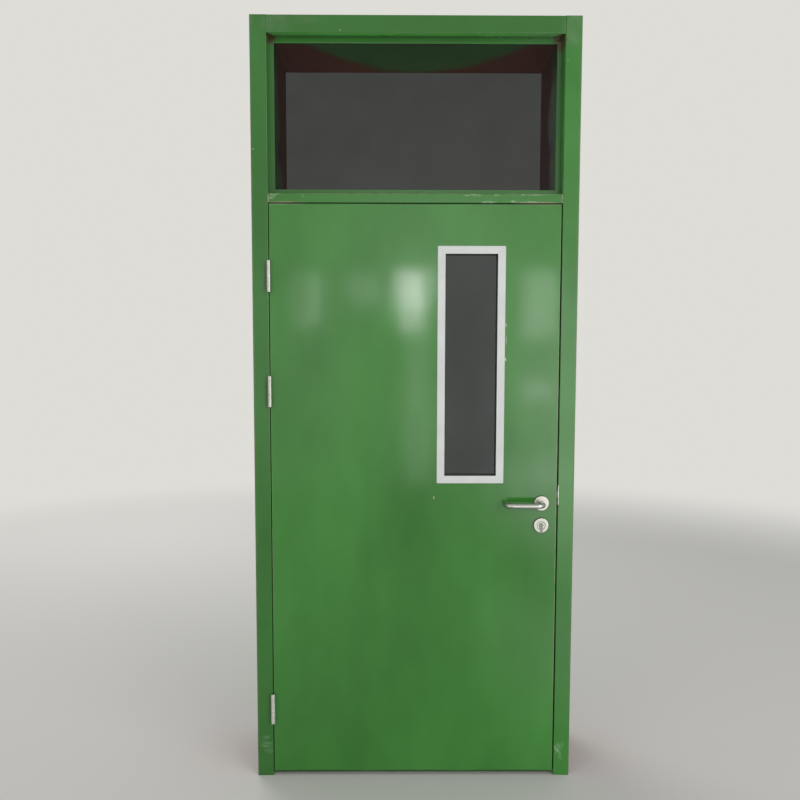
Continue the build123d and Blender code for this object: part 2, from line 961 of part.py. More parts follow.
def lever_back():
    return mirror_leaf(lever_front())


def lever_spindle():
    half = spindle_side / 2
    y = (face - spindle_depth, leaf_back + spindle_depth)
    return block((spindle_x - half, spindle_x + half), y, (spindle_height - half, spindle_height + half))


# Lock. The follower turns with the spindle and its arm pushes the lug under the latch tail.
follower_radius = 11
follower_boss = 9
follower_arm = 20
follower_arm_width = 8
arm_thickness = 6
lug_clearance = 1.7


def lock_follower():
    inside = (case_front + case_wall + 0.3, case_back - case_wall - 0.3)
    follower = rod_y(spindle_x, spindle_height, follower_radius, *inside)
    follower += rod_y(spindle_x, spindle_height, follower_boss, case_front, case_back)
    half = follower_arm_width / 2
    y = (leaf_middle - arm_thickness / 2, leaf_middle + arm_thickness / 2)
    follower += block((spindle_x - half, spindle_x + half), y, (spindle_height, spindle_height + follower_arm))
    half = (spindle_side + spindle_clearance) / 2
    return follower - block((spindle_x - half, spindle_x + half), (case_front - 1, case_back + 1),
                            (spindle_height - half, spindle_height + half))


latch_height_size = 20
latch_width = 12
latch_head_length = 30
tail_height = 8
tail_back = 17.5
lug_length = 11.8
lug_drop = 16


def latch_bolt():
    nose = leaf_right + latch_throw
    half_y = latch_width / 2
    outline = Polyline(
        (nose - latch_head_length, leaf_middle - half_y),
        (nose, leaf_middle - half_y),
        (nose, leaf_middle - half_y + 2),
        (nose - latch_throw + 1, leaf_middle + half_y),
        (nose - latch_head_length, leaf_middle + half_y),
        close=True,
    )
    half_z = latch_height_size / 2
    latch = raise_section(make_face(outline), latch_height - half_z, latch_height + half_z)
    y = (leaf_middle - arm_thickness / 2, leaf_middle + arm_thickness / 2)
    tail_z = (latch_height - tail_height / 2, latch_height + tail_height / 2)
    tail_end = spindle_x - tail_back
    latch += block((tail_end, nose - latch_head_length), y, tail_z)
    lug_right = spindle_x - follower_arm_width / 2 - lug_clearance
    return latch + block((lug_right - lug_length, lug_right), y, (latch_height - lug_drop, latch_height))


deadbolt_height_size = 20
deadbolt_width = 11
deadbolt_length = 53
deadbolt_tail = 25
deadbolt_setback = 0.5


def deadbolt():
    nose = leaf_right - deadbolt_setback
    half_y = deadbolt_width / 2
    half_z = deadbolt_height_size / 2
    y = (leaf_middle - half_y, leaf_middle + half_y)
    z = (deadbolt_height - half_z, deadbolt_height + half_z)
    bolt = block((nose - deadbolt_length, nose), y, z)
    bolt = fillet(bolt.faces().sort_by(Axis.X)[-1].edges(), 1)
    tail_y = (leaf_middle - arm_thickness / 2, leaf_middle + arm_thickness / 2)
    tail_bottom = cylinder_height + cam_radius + 1
    left = nose - deadbolt_length - deadbolt_tail
    return bolt + block((left, nose - deadbolt_length), tail_y, (tail_bottom, deadbolt_height))


bolt_clearance = 0.3


# Openings for the two bolts, as they pass the forend, the case wall and the strike.
def bolt_openings(x, clearance):
    latch_z = latch_height_size / 2 + clearance
    latch_y = latch_width / 2 + clearance
    bolt_z = deadbolt_height_size / 2 + clearance
    bolt_y = deadbolt_width / 2 + clearance
    latch_hole = block(x, (leaf_middle - latch_y, leaf_middle + latch_y),
                       (latch_height - latch_z, latch_height + latch_z))
    deadbolt_hole = block(x, (leaf_middle - bolt_y, leaf_middle + bolt_y),
                          (deadbolt_height - bolt_z, deadbolt_height + bolt_z))
    return latch_hole + deadbolt_hole


def forend_outline(x, clearance):
    half = forend_width / 2 + clearance
    y = (leaf_middle - half, leaf_middle + half)
    return block(x, y, (forend_bottom - clearance, forend_top + clearance))


def forend_screw_heights():
    return [forend_bottom + forend_screw_inset, forend_top - forend_screw_inset]


def lock_forend():
    plate = forend_outline((forend_back, leaf_right), 0)
    plate = fillet(plate.edges().filter_by(Axis.X), 3)
    plate -= bolt_openings((forend_back - 1, leaf_right + 1), bolt_clearance)
    for z in forend_screw_heights() + [lock_screw_height()]:
        plate -= Pos(leaf_right, leaf_middle, z) * head_towards["right"] * screw_hole()
    return plate


def lock_screws():
    places = [Pos(leaf_right, leaf_middle, z) * head_towards["right"] for z in forend_screw_heights()]
    screws = [place * screw() for place in places]
    long_place = Pos(leaf_right, leaf_middle, lock_screw_height()) * head_towards["right"]
    return screws + [long_place * screw(backset + 5)]


def lock_reinforcement():
    x = (core_right - backplate_thickness, core_right)
    plate = block(x, (skin_front, skin_back), (pocket_bottom, pocket_top))
    plate -= forend_outline((forend_back, core_right + 1), mortise_clearance)
    window_y = (case_front - 0.5, case_back + 0.5)
    plate -= block((x[0] - 1, x[1] + 1), window_y, (case_bottom - 0.5, case_top + 0.5))
    for z in forend_screw_heights():
        plate -= rod_x(leaf_middle, z, screw_radius + screw_hole_clearance, x[0], x[1])
    return plate


def case_block(x, y, z, inset):
    return block((x[0] + inset, x[1] - inset), y, (z[0] + inset, z[1] - inset))


# Holes through the case's broad sides for the follower, the cylinder and the bolts between the roses.
def case_side_holes(start, end):
    holes = rod_y(spindle_x, spindle_height, follower_boss + running_clearance, start, end)
    holes += cylinder_profile(profile_clearance, start, end)
    for x, z in through_bolt_places():
        holes += rod_y(x, z, bolt_radius + skin_cut_clearance, start, end)
    return holes


def lock_case():
    x = (case_left, forend_back)
    z = (case_bottom, case_top)
    tray = case_block(x, (case_front, case_back), z, 0)
    tray = fillet(tray.edges().filter_by(Axis.Y), 3)
    tray -= case_block(x, (case_front + case_wall, case_back + 1), z, case_wall)
    tray -= case_side_holes(case_front - 1, case_front + case_wall + 1)
    tray -= bolt_openings((forend_back - case_wall - 1, forend_back + 1), bolt_clearance)
    radius = screw_radius + screw_hole_clearance
    return tray - rod_x(leaf_middle, lock_screw_height(), radius, forend_back - case_wall, forend_back)


def lock_case_cover():
    x = (case_left, forend_back)
    z = (case_bottom, case_top)
    cover = case_block(x, (case_back - case_wall, case_back), z, case_wall)
    return cover - case_side_holes(case_back - case_wall - 1, case_back + 1)


# The strike lies flush in the rebate, with a lip that comes out to the frame's face.
def strike_plate_x():
    return (rebate_right, rebate_right + strike_thickness)


def strike_outline(clearance):
    middle = (forend_top + forend_bottom) / 2
    y = (leaf_middle - strike_width / 2 - clearance, leaf_middle + strike_width / 2 + clearance)
    z = (middle - strike_length / 2 - clearance, middle + strike_length / 2 + clearance)
    plate = block(strike_plate_x(), y, z)
    half = strike_lip_length / 2 + clearance
    lip_y = (face - strike_lip_proud, leaf_middle)
    return plate + block(strike_plate_x(), lip_y, (latch_height - half, latch_height + half))


def strike_screw_heights():
    middle = (forend_top + forend_bottom) / 2
    return [middle + side * (strike_length / 2 - forend_screw_inset) for side in (-1, 1)]


def strike_plate():
    plate = strike_outline(0)
    lip = plate.edges().filter_by(Axis.Z).sort_by(Axis.Y)[0:2]
    plate = fillet(lip, strike_thickness * 0.45)
    x = (rebate_right - 1, rebate_right + strike_thickness + 1)
    plate -= bolt_openings(x, strike_hole_gap)
    for z in strike_screw_heights():
        plate -= Pos(rebate_right, leaf_middle, z) * head_towards["left"] * screw_hole()
    return plate


def strike_screws():
    place = head_towards["left"]
    return [Pos(rebate_right, leaf_middle, z) * place * screw() for z in strike_screw_heights()]


# A thick plate behind the strike, with a closed box that the bolts shoot into.
def strike_box():
    middle = (forend_top + forend_bottom) / 2
    half = strike_length / 2 + backplate_margin
    x = (rebate_right + frame_sheet, rebate_right + frame_sheet + backplate_thickness)
    y = (face + 2 * frame_sheet, stop - frame_sheet)
    box = block(x, y, (middle - half, middle + half))
    room = 4
    low = deadbolt_height - deadbolt_height_size / 2 - room
    high = latch_height + latch_height_size / 2 + room
    half_y = latch_width / 2 + room
    box_y = (leaf_middle - half_y, leaf_middle + half_y)
    box += block((x[0], x[1] + strike_box_depth), box_y, (low, high))
    inside_y = (box_y[0] + channel_sheet, box_y[1] - channel_sheet)
    inside_z = (low + channel_sheet, high - channel_sheet)
    box -= block((x[0] - 1, x[1] + strike_box_depth - channel_sheet), inside_y, inside_z)
    box -= strike_outline(mortise_clearance)
    for z in strike_screw_heights():
        box -= rod_x(leaf_middle, z, screw_radius + screw_hole_clearance, x[0], x[1])
    return box


builders = [
    jamb_hinge_side,
    jamb_lock_side,
    frame_head,
    transom_bar,
    wall_fixing_sleeves,
    transom_glass,
    transom_glazing_tape,
    transom_bead_top,
    transom_bead_bottom,
    transom_bead_hinge_side,
    transom_bead_lock_side,
    transom_bead_screws,
    door_seal_hinge_side,
    door_seal_lock_side,
    door_seal_head,
    strike_plate,
    strike_screws,
    strike_box,
    hinge_backplates_frame,
    hinge_frame_screws,
    leaf_front_skin,
    leaf_back_skin,
    leaf_core,
    leaf_top_channel,
    leaf_bottom_channel,
    hinge_backplates_leaf,
    hinge_leaf_screws,
    hinge_bearing_rings,
    vision_opening_liner,
    vision_glass,
    vision_gaskets,
    vision_trim_front,
    vision_trim_back,
    vision_trim_screws,
    lock_reinforcement,
    lock_forend,
    lock_screws,
    lock_case,
    lock_case_cover,
    lock_follower,
    latch_bolt,
    deadbolt,
    cylinder_body,
    cylinder_plug,
    thumb_turn,
    lever_rose_front,
    lever_rose_back,
    cylinder_rose_front,
    cylinder_rose_back,
    rose_through_bolts,
    lever_spindle,
    lever_front,
    lever_back,
]


def write(name, made):
    solids = made if isinstance(made, list) else [made]
    pieces = [solid for shape in solids for solid in shape.solids()]
    shape = pieces[0] if len(pieces) == 1 else Compound(children=pieces)
    export_step(shape, os.path.join(parts_folder, name + ".step"))


os.makedirs(parts_folder, exist_ok=True)
for builder in builders:
    write(builder.__name__, builder())
for name, middle in hinge_middles.items():
    write("hinge_" + name + "_frame_half", hinge_frame_half(middle))
    write("hinge_" + name + "_leaf_half", hinge_leaf_half(middle))
write("hinge_pins", [hinge_pin(middle) for middle in hinge_middles.values()])
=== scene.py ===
from math import pi, radians

import bpy
from mathutils import Matrix, Vector


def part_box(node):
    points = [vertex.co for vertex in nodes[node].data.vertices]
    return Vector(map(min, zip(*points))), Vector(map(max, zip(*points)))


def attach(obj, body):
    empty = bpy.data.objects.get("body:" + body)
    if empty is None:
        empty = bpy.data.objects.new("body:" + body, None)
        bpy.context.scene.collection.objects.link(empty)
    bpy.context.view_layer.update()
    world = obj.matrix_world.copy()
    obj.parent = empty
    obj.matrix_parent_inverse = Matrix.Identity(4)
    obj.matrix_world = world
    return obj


# Green steel classroom door in its frame, with a glazed top light. Metres, X to the right of someone
# facing the front, Y from front to back, Z up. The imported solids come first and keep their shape;
# this file gives them their finishes and adds the small pieces that the solids leave out.

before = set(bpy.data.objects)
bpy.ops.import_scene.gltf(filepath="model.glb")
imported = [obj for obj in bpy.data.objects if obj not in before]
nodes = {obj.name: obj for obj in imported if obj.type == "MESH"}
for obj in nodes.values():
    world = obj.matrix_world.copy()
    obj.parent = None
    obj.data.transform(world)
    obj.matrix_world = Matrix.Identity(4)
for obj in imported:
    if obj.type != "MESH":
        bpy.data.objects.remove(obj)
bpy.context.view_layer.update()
print("frame loaded:", len(nodes), "nodes")

scene = bpy.context.scene
scene.view_settings.view_transform = "Standard"

cameraSettings = {
    "place": (-0.0679, -2.9705, 1.604),  # standing a little left of the middle, at eye height
    "turn": -0.312,                      # degrees about Z
    "tilt": 4.493,                       # degrees down
    "roll": 0.113,
    "lens": 36,
    "sensor": 36,
}

cameraData = bpy.data.cameras.new("camera")
cameraData.lens = cameraSettings["lens"]
cameraData.sensor_width = cameraSettings["sensor"]
camera = bpy.data.objects.new("camera", cameraData)
camera.matrix_world = (
    Matrix.Translation(cameraSettings["place"])
    @ Matrix.Rotation(radians(cameraSettings["turn"]), 4, "Z")
    @ Matrix.Rotation(radians(90 - cameraSettings["tilt"]), 4, "X")
    @ Matrix.Rotation(radians(cameraSettings["roll"]), 4, "Z")
)
scene.collection.objects.link(camera)
scene.camera = camera

# Radiance is what a lamp shows in a reflection, so its watts follow from its size.
windowPlane = -5.8     # far behind the camera, where lamps stand that the gloss paint mirrors
lampSettings = {
    "key": {"place": (4.5, -5.0, 2.6), "aim": (0.1, -0.1, 1.1), "size": (4.6, 4.6), "radiance": 2.75},
    "fill": {"place": (-3.2, -3.8, 1.5), "aim": (0.0, -0.1, 1.1), "size": (2.6, 2.6), "radiance": 1.7},
    "windowLeft": {"place": (-0.98, windowPlane, 1.98), "size": (0.25, 0.54), "radiance": 2.3},
    "windowNextLeft": {"place": (-0.40, windowPlane, 2.09), "size": (0.26, 0.30), "radiance": 1.9},
    "windowMiddle": {"place": (0.116, windowPlane, 2.10), "size": (0.32, 0.38), "radiance": 12.5},
    "windowMiddleLow": {"place": (0.116, windowPlane, 1.78), "size": (0.27, 0.24), "radiance": 6.5},
    "windowRight": {"place": (1.44, windowPlane, 1.945), "size": (0.36, 0.70), "radiance": 3.2},
    "windowRightLow": {"place": (1.444, windowPlane, 1.05), "size": (0.24, 0.22), "radiance": 2.6},
    "slit": {"place": (0.17, windowPlane, 0.83), "size": (0.22, 1.60), "radiance": 1.0},
    "back": {"place": (-2.6, 4.0, 3.4), "aim": (0.0, 0.2, 1.3), "size": (3.2, 3.2), "radiance": 3.3},
    # a narrow beam up into the reveal over the bar
    "reveal": {"place": (0.2, 2.1, 0.5), "aim": (0.0, 0.08, 2.6), "cone": 26, "blend": 0.7, "bulb": 0.25,
               "power": 470.0},
}


def addLamp(name, lamp):
    if "cone" in lamp:
        data = bpy.data.lights.new(name, "SPOT")
        data.spot_size = radians(lamp["cone"])
        data.spot_blend = lamp["blend"]
        data.shadow_soft_size = lamp["bulb"]
        data.energy = lamp["power"]
    else:
        width, height = lamp["size"]
        data = bpy.data.lights.new(name, "AREA")
        data.shape = "RECTANGLE"
        data.size = width
        data.size_y = height
        data.energy = lamp["radiance"] * width * height * pi
    place = Vector(lamp["place"])
    aim = Vector(lamp.get("aim", place + Vector((0, 1, 0))))
    turn = (place - aim).to_track_quat("Z", "Y").to_matrix().to_4x4()
    lampObject = bpy.data.objects.new(name, data)
    lampObject.matrix_world = Matrix.Translation(place) @ turn
    lampObject.visible_camera = False
    lampObject.visible_transmission = False
    lampObject.visible_glossy = "cone" not in lamp
    scene.collection.objects.link(lampObject)


for name, lamp in lampSettings.items():
    addLamp(name, lamp)


def toLinear(colour):
    parts = [int(colour[i:i + 2], 16) / 255 for i in (1, 3, 5)]
    return [p / 12.92 if p <= 0.04045 else ((p + 0.055) / 1.055) ** 2.4 for p in parts] + [1.0]


# Adds a node with its settings. An input is a node, a socket or a plain value, and is named for its
# socket, or i and a number where several sockets share a name.
def addNode(tree, kind, settings=None, **inputs):
    node = tree.nodes.new("ShaderNode" + kind)
    for name, value in (settings or {}).items():
        if name == "stops":
            for element in list(node.color_ramp.elements)[1:]:
                node.color_ramp.elements.remove(element)
            for i, (position, colour) in enumerate(value):
                elements = node.color_ramp.elements
                stop = elements[0] if i == 0 else elements.new(position)
                stop.position = position
                stop.color = toLinear(colour)
        else:
            setattr(node, name, value)
    for name, value in inputs.items():
        numbered = name[0] == "i" and name[1:].isdigit()
        socket = node.inputs[int(name[1:]) if numbered else name.replace("_", " ")]
        if isinstance(value, bpy.types.Node):
            value = value.outputs[0]
        if isinstance(value, bpy.types.NodeSocket):
            tree.links.new(value, socket)
        else:
            socket.default_value = value
    return node


stageSettings = {
    "paleWorld": "#DEDDD8",    # what is seen all round, straight, mirrored or through glass
    "ambient": "#F2F4F6",      # what lights the scene from all round
    "ambientStrength": 0.65,
    "floor": "#C9C7C2",
    "floorRadius": 9.0,
    "fadeFrom": 3.5,           # the floor keeps its shadow within this, and fades to the world beyond it
    "fadeTo": 6.2,
}


# 1 for rays that see, straight, mirrored or through glass, and 0 for rays that only gather light.
def seenRays(tree):
    rays = addNode(tree, "LightPath")
    seen = rays.outputs["Is Camera Ray"]
    for kind in ("Is Glossy Ray", "Is Transmission Ray"):
        seen = addNode(tree, "Math", {"operation": "MAXIMUM"}, i0=seen, i1=rays.outputs[kind])
    return seen


world = bpy.data.worlds.new("studio")
scene.world = world
world.use_nodes = True
tree = world.node_tree
tree.nodes.clear()
lightPart = addNode(tree, "Background", Color=toLinear(stageSettings["ambient"]),
                    Strength=stageSettings["ambientStrength"])
palePart = addNode(tree, "Background", Color=toLinear(stageSettings["paleWorld"]), Strength=1.0)
worldMix = addNode(tree, "MixShader", i0=seenRays(tree), i1=lightPart, i2=palePart)
addNode(tree, "OutputWorld", Surface=worldMix)

bpy.ops.object.select_all(action="DESELECT")
bpy.ops.mesh.primitive_circle_add(vertices=96, radius=stageSettings["floorRadius"], fill_type="NGON",
                                  location=(0, 0, 0))
floor = bpy.context.object
floor.name = "stageFloor"
floorPaint = bpy.data.materials.new("studioFloor")
floorPaint.use_nodes = True
tree = floorPaint.node_tree
tree.nodes.clear()
where = addNode(tree, "TexCoord")
away = addNode(tree, "VectorMath", {"operation": "LENGTH"}, i0=where.outputs["Object"])
fade = addNode(tree, "MapRange", {"interpolation_type": "SMOOTHSTEP"}, Value=away.outputs["Value"],
               From_Min=stageSettings["fadeFrom"], From_Max=stageSettings["fadeTo"])
fade = addNode(tree, "Math", {"operation": "MULTIPLY"}, i0=fade, i1=seenRays(tree))
matt = addNode(tree, "BsdfDiffuse", Color=toLinear(stageSettings["floor"]))
pale = addNode(tree, "Emission", Color=toLinear(stageSettings["paleWorld"]), Strength=1.0)
floorMix = addNode(tree, "MixShader", i0=fade, i1=matt, i2=pale)
addNode(tree, "OutputMaterial", Surface=floorMix)
floor.data.materials.append(floorPaint)
print("camera, lamps and floor ready")


def newMaterial(name):
    material = bpy.data.materials.new(name)
    material.use_nodes = True
    material.node_tree.nodes.clear()
    return material, material.node_tree


def dress(material, *names):
    for name in names:
        slots = nodes[name].data.materials
        if len(slots) == 0:
            slots.append(material)
        for i in range(len(slots)):
            slots[i] = material


# Lays a colour over a coat by a mask, and a roughness too where one is given.
def layOver(tree, coat, mask, colour, roughness=None):
    mixed = addNode(tree, "Mix", {"data_type": "RGBA"}, i0=mask, i6=coat["colour"], i7=colour)
    coat["colour"] = mixed.outputs[2]
    if roughness is not None:
        coat["rough"] = addNode(tree, "Mix", i0=mask, i2=coat["rough"], i3=roughness).outputs[0]


# A soft patch round a place, 1 in its middle and 0 outside its half sizes.
def softPatch(tree, coords, patch):
    spot = addNode(tree, "Mapping", {"vector_type": "TEXTURE"}, Vector=coords, Location=patch["place"],
                   Rotation=(0, radians(patch.get("turn", 0)), 0), Scale=patch["half"])
    ball = addNode(tree, "TexGradient", {"gradient_type": "SPHERICAL"}, Vector=spot)
    return addNode(tree, "MapRange", {"interpolation_type": "SMOOTHSTEP"}, Value=ball.outputs["Fac"],
                   From_Min=0.0, From_Max=patch.get("edge", 0.5), To_Max=patch.get("amount", 1.0))


# All patches of one kind as one mask, broken up by a streaky noise.
def wearAndShadeMask(tree, coords, kind):
    mask = None
    for patch in kind["patches"]:
        spot = softPatch(tree, coords, patch)
        mask = spot if mask is None else addNode(tree, "Math", {"operation": "MAXIMUM"}, i0=mask, i1=spot)
    grainScale = addNode(tree, "Mapping", {"vector_type": "POINT"}, Vector=coords, Scale=kind["grain"])
    grain = addNode(tree, "TexNoise", Vector=grainScale, Scale=1.0, Detail=4.0, Roughness=0.62)
    lowCut, highCut = kind["cut"]
    grain = addNode(tree, "MapRange", {"interpolation_type": "SMOOTHSTEP"}, Value=grain.outputs["Fac"],
                    From_Min=lowCut, From_Max=highCut)
    broken = addNode(tree, "Math", {"operation": "MULTIPLY"}, i0=mask, i1=grain)
    return addNode(tree, "Math", {"operation": "MULTIPLY"}, i0=broken, i1=kind["strength"])


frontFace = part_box("jamb_hinge_side")[0].y

# Unseen panels with soft-edged glows, which give the gloss paint its broad pale sheen. The far one stands
# behind the camera, the low one lies just over the floor.
glowSettings = {
    "farGlow": {"turn": 90, "level": windowPlane + 0.02, "lowest": 0.02, "patches": [
        {"place": (1.85, 0.90), "half": (1.5, 1.9), "amount": 2.05},
        {"place": (0.50, 2.70), "half": (2.4, 1.5), "amount": 0.85},
        {"place": (-0.95, 1.40), "half": (1.0, 1.8), "amount": 0.50},
        {"place": (0.25, 0.85), "half": (0.55, 1.3), "amount": 0.9},
    ]},
    "lowGlow": {"turn": 0, "level": 0.03, "highest": -0.45, "patches": [
        {"place": (2.05, -4.60), "half": (1.55, 4.2), "amount": 1.65, "edge": 0.6},
        {"place": (0.95, -1.30), "half": (0.8, 1.6), "amount": 0.8},
    ]},
}


def addGlow(name, glow):
    patches = glow["patches"]
    low = [min(patch["place"][i] - patch["half"][i] for patch in patches) for i in (0, 1)]
    high = [max(patch["place"][i] + patch["half"][i] for patch in patches) for i in (0, 1)]
    low[1] = max(low[1], glow.get("lowest", low[1]))
    high[1] = min(high[1], glow.get("highest", high[1]))
    middle = [(low[i] + high[i]) / 2 for i in (0, 1)]
    upright = glow["turn"] == 90

    def spread(across, along):
        return (across, glow["level"], along) if upright else (across, along, glow["level"])

    bpy.ops.object.select_all(action="DESELECT")
    bpy.ops.mesh.primitive_plane_add(size=1.0)
    panel = bpy.context.object
    panel.name = name
    panel.scale = (high[0] - low[0], high[1] - low[1], 1.0)
    panel.rotation_euler = (radians(glow["turn"]), 0, 0)
    panel.location = spread(*middle)
    bpy.ops.object.transform_apply(location=True, rotation=True, scale=True)
    panel.visible_camera = False
    panel.visible_transmission = False
    panel.visible_shadow = False
    panel.visible_diffuse = False
    light, tree = newMaterial(name)
    coords = addNode(tree, "TexCoord").outputs["Object"]
    total = None
    for patch in patches:
        half = (patch["half"][0], 1.0, patch["half"][1]) if upright else (*patch["half"], 1.0)
        spot = softPatch(tree, coords, {"place": spread(*patch["place"]), "half": half,
                                        "edge": patch.get("edge", 1.0), "amount": patch["amount"]})
        total = spot if total is None else addNode(tree, "Math", {"operation": "ADD"}, i0=total, i1=spot)
    glowing = addNode(tree, "Emission", Color=(1, 1, 1, 1), Strength=total)
    clear = addNode(tree, "BsdfTransparent")
    both = addNode(tree, "AddShader", i0=glowing, i1=clear)
    addNode(tree, "OutputMaterial", Surface=both)
    panel.data.materials.append(light)


for name, glow in glowSettings.items():
    addGlow(name, glow)

# Gloss enamel sprayed over red primer: a wet-looking green with a faint orange peel, slow ripples in the
# sheet that bend its reflections, dust, scuffs and bare primer left from the work on it, and painted shade.
enamelSettings = {
    "green": "#326C2A",
    "deepGreen": "#2C6225",
    "paleGreen": "#387431",
    "overspray": "#46903A",
    "primer": "#884233",
    "primerDust": "#985A49",
    "roughness": (0.12, 0.17),
    "cloud": 2.4,        # colour clouds, about 400 mm apart
    "peel": 260.0,       # orange peel, drawn 4 mm apart; the real one is 2 mm and wouldn't show
    "peelDepth": 0.000018,
    "ripple": 5.0,       # slow hollows in the sheet, about 200 mm apart
    "rippleDepth": 0.0007,
}

wornRoughness = 0.6      # scuffs, dust and dirt are dull on the gloss
hingeX = -0.511
hingeMiddles = (0.256, 1.412, 1.815)

# A kind of wear or painted shade has a colour, a strength, the scale and the cuts of the noise that breaks it
# up, and its patches. The edge of a patch is the soft share of its half sizes.
frameWearAndShade = [
    {   # pale scuffs where the green is rubbed through to dust
        "colour": "#9AB38E", "strength": 0.56, "grain": (45, 45, 260), "cut": (0.42, 0.60),
        "patches": [
            {"place": (-0.499, frontFace, 2.0895), "half": (0.016, 0.03, 0.013)},
            {"place": (-0.490, frontFace, 2.0975), "half": (0.030, 0.03, 0.0035)},
            {"place": (-0.3960, frontFace, 2.0960), "half": (0.0135, 0.03, 0.0040), "turn": 45, "edge": 0.25},
            {"place": (-0.3900, frontFace, 2.0900), "half": (0.0080, 0.03, 0.0036), "turn": 70, "edge": 0.25},
            {"place": (0.196, frontFace, 2.0955), "half": (0.040, 0.03, 0.0062)},
            {"place": (0.255, frontFace, 2.0718), "half": (0.034, 0.03, 0.0048)},
            {"place": (0.283, frontFace, 2.0955), "half": (0.014, 0.03, 0.0045)},
            {"place": (0.398, frontFace, 2.0725), "half": (0.085, 0.03, 0.0042)},
            {"place": (0.406, frontFace, 2.0972), "half": (0.060, 0.03, 0.0042)},
            {"place": (0.345, frontFace, 2.0740), "half": (0.022, 0.03, 0.0060)},
        ],
    },
    {   # a pinkish line of primer dust on the bar's lower edge and at its right end
        "colour": "#A08C7C", "strength": 0.7, "grain": (30, 30, 90), "cut": (0.30, 0.50),
        "patches": [
            {"place": (-0.445, frontFace, 2.0700), "half": (0.085, 0.03, 0.0030)},
            {"place": (0.420, frontFace, 2.0700), "half": (0.100, 0.03, 0.0030)},
            {"place": (0.5113, frontFace, 2.0850), "half": (0.0030, 0.03, 0.0260)},
            {"place": (-0.5110, frontFace, 2.0850), "half": (0.0030, 0.03, 0.0200)},
            {"place": (-0.10, frontFace, 2.1003), "half": (0.42, 0.03, 0.0022), "amount": 0.6},
            {"place": (0.40, frontFace, 2.1003), "half": (0.12, 0.03, 0.0022), "amount": 0.8},
        ],
    },
    {   # grey plaster smears at the top corners, and a film of dust along the outer edges
        "colour": "#66795F", "strength": 0.36, "grain": (14, 14, 10), "cut": (0.30, 0.62),
        "patches": [
            {"place": (-0.474, frontFace, 2.6720), "half": (0.075, 0.03, 0.040)},
            {"place": (-0.400, frontFace, 2.6850), "half": (0.080, 0.03, 0.022), "amount": 0.6},
            {"place": (0.543, frontFace, 2.6600), "half": (0.050, 0.03, 0.075)},
            {"place": (-0.566, frontFace, 2.6870), "half": (0.014, 0.03, 0.030)},
            {"place": (-0.5700, frontFace, 1.35), "half": (0.0085, 0.05, 2.2), "amount": 0.9},
            {"place": (0.5700, frontFace, 1.35), "half": (0.0085, 0.05, 2.2), "amount": 0.9},
            {"place": (0.0, frontFace, 2.7000), "half": (0.9, 0.05, 0.0060), "amount": 0.6},
        ],
    },
    {   # a whitish brush mark near the floor on the lock side
        "colour": "#A9C0A3", "strength": 0.54, "grain": (150, 150, 70), "cut": (0.34, 0.66),
        "patches": [
            {"place": (0.5250, frontFace, 0.096), "half": (0.015, 0.03, 0.028), "turn": -14, "edge": 0.9},
            {"place": (0.5340, frontFace, 0.110), "half": (0.022, 0.03, 0.016), "turn": -38, "amount": 0.5},
            {"place": (0.5330, frontFace, 0.080), "half": (0.012, 0.03, 0.028), "turn": -24, "amount": 0.45},
        ],
    },
    {   # faint smears rubbed across the hinge side's foot
        "colour": "#86A880", "strength": 0.38, "grain": (24, 60, 130), "cut": (0.36, 0.66),
        "patches": [
            {"place": (-0.545, frontFace, 0.143), "half": (0.026, 0.03, 0.013), "turn": -10, "edge": 0.8},
            {"place": (-0.536, frontFace, 0.116), "half": (0.034, 0.03, 0.016), "turn": 10, "amount": 0.8},
            {"place": (-0.530, frontFace, 0.092), "half": (0.026, 0.03, 0.014), "turn": 14, "amount": 0.5},
        ],
    },
    {   # painted shade: a dark line in the lee of the hinge barrels, where their shadow falls
        "colour": "#3C4A30", "strength": 0.75, "grain": (90, 90, 30), "cut": (0.10, 0.40),
        "patches": [
            {"place": (hingeX - 0.0145, frontFace, middle), "half": (0.0046, 0.01, 0.075), "edge": 0.5}
            for middle in hingeMiddles
        ],
    },
    {   # painted shade: a dark line along the edge that faces the leaf on the lock side, widening the shadow in the gap
        "colour": "#18240F", "strength": 0.85, "grain": (30, 30, 12), "cut": (0.10, 0.35),
        "patches": [
            {"place": (0.5125, frontFace, height), "half": (0.0018, 0.004, 0.55), "edge": 0.35}
            for height in (0.38, 1.04, 1.66)
        ],
    },
    {   # single pale nicks
        "colour": "#A3B896", "strength": 0.6, "grain": (160, 160, 160), "cut": (0.30, 0.55),
        "patches": [
            {"place": (-0.260, frontFace, 2.649), "half": (0.0040, 0.03, 0.0035), "edge": 0.7},
            {"place": (0.521, frontFace, 2.552), "half": (0.0045, 0.03, 0.0045), "edge": 0.7, "amount": 0.6},
            {"place": (-0.5615, frontFace, 2.250), "half": (0.0035, 0.03, 0.0050), "edge": 0.7},
            {"place": (0.530, frontFace, 2.000), "half": (0.0030, 0.03, 0.0040), "edge": 0.7, "amount": 0.5},
        ],
    },
]

primerAndShade = {   # bare primer in the rebate's top corners, where the spray didn't reach, darkened as painted shade
    "colour": "#4E2A26", "strength": 0.7, "grain": (30, 30, 30), "cut": (0.15, 0.40),
    "patches": [
        {"place": (-0.5125, -0.108, 2.640), "half": (0.034, 0.038, 0.030), "edge": 0.4},
        {"place": (0.5125, -0.108, 2.640), "half": (0.044, 0.038, 0.062), "edge": 0.4},
        {"place": (0.5165, frontFace, 2.619), "half": (0.0050, 0.01, 0.018), "amount": 0.7},
    ],
}

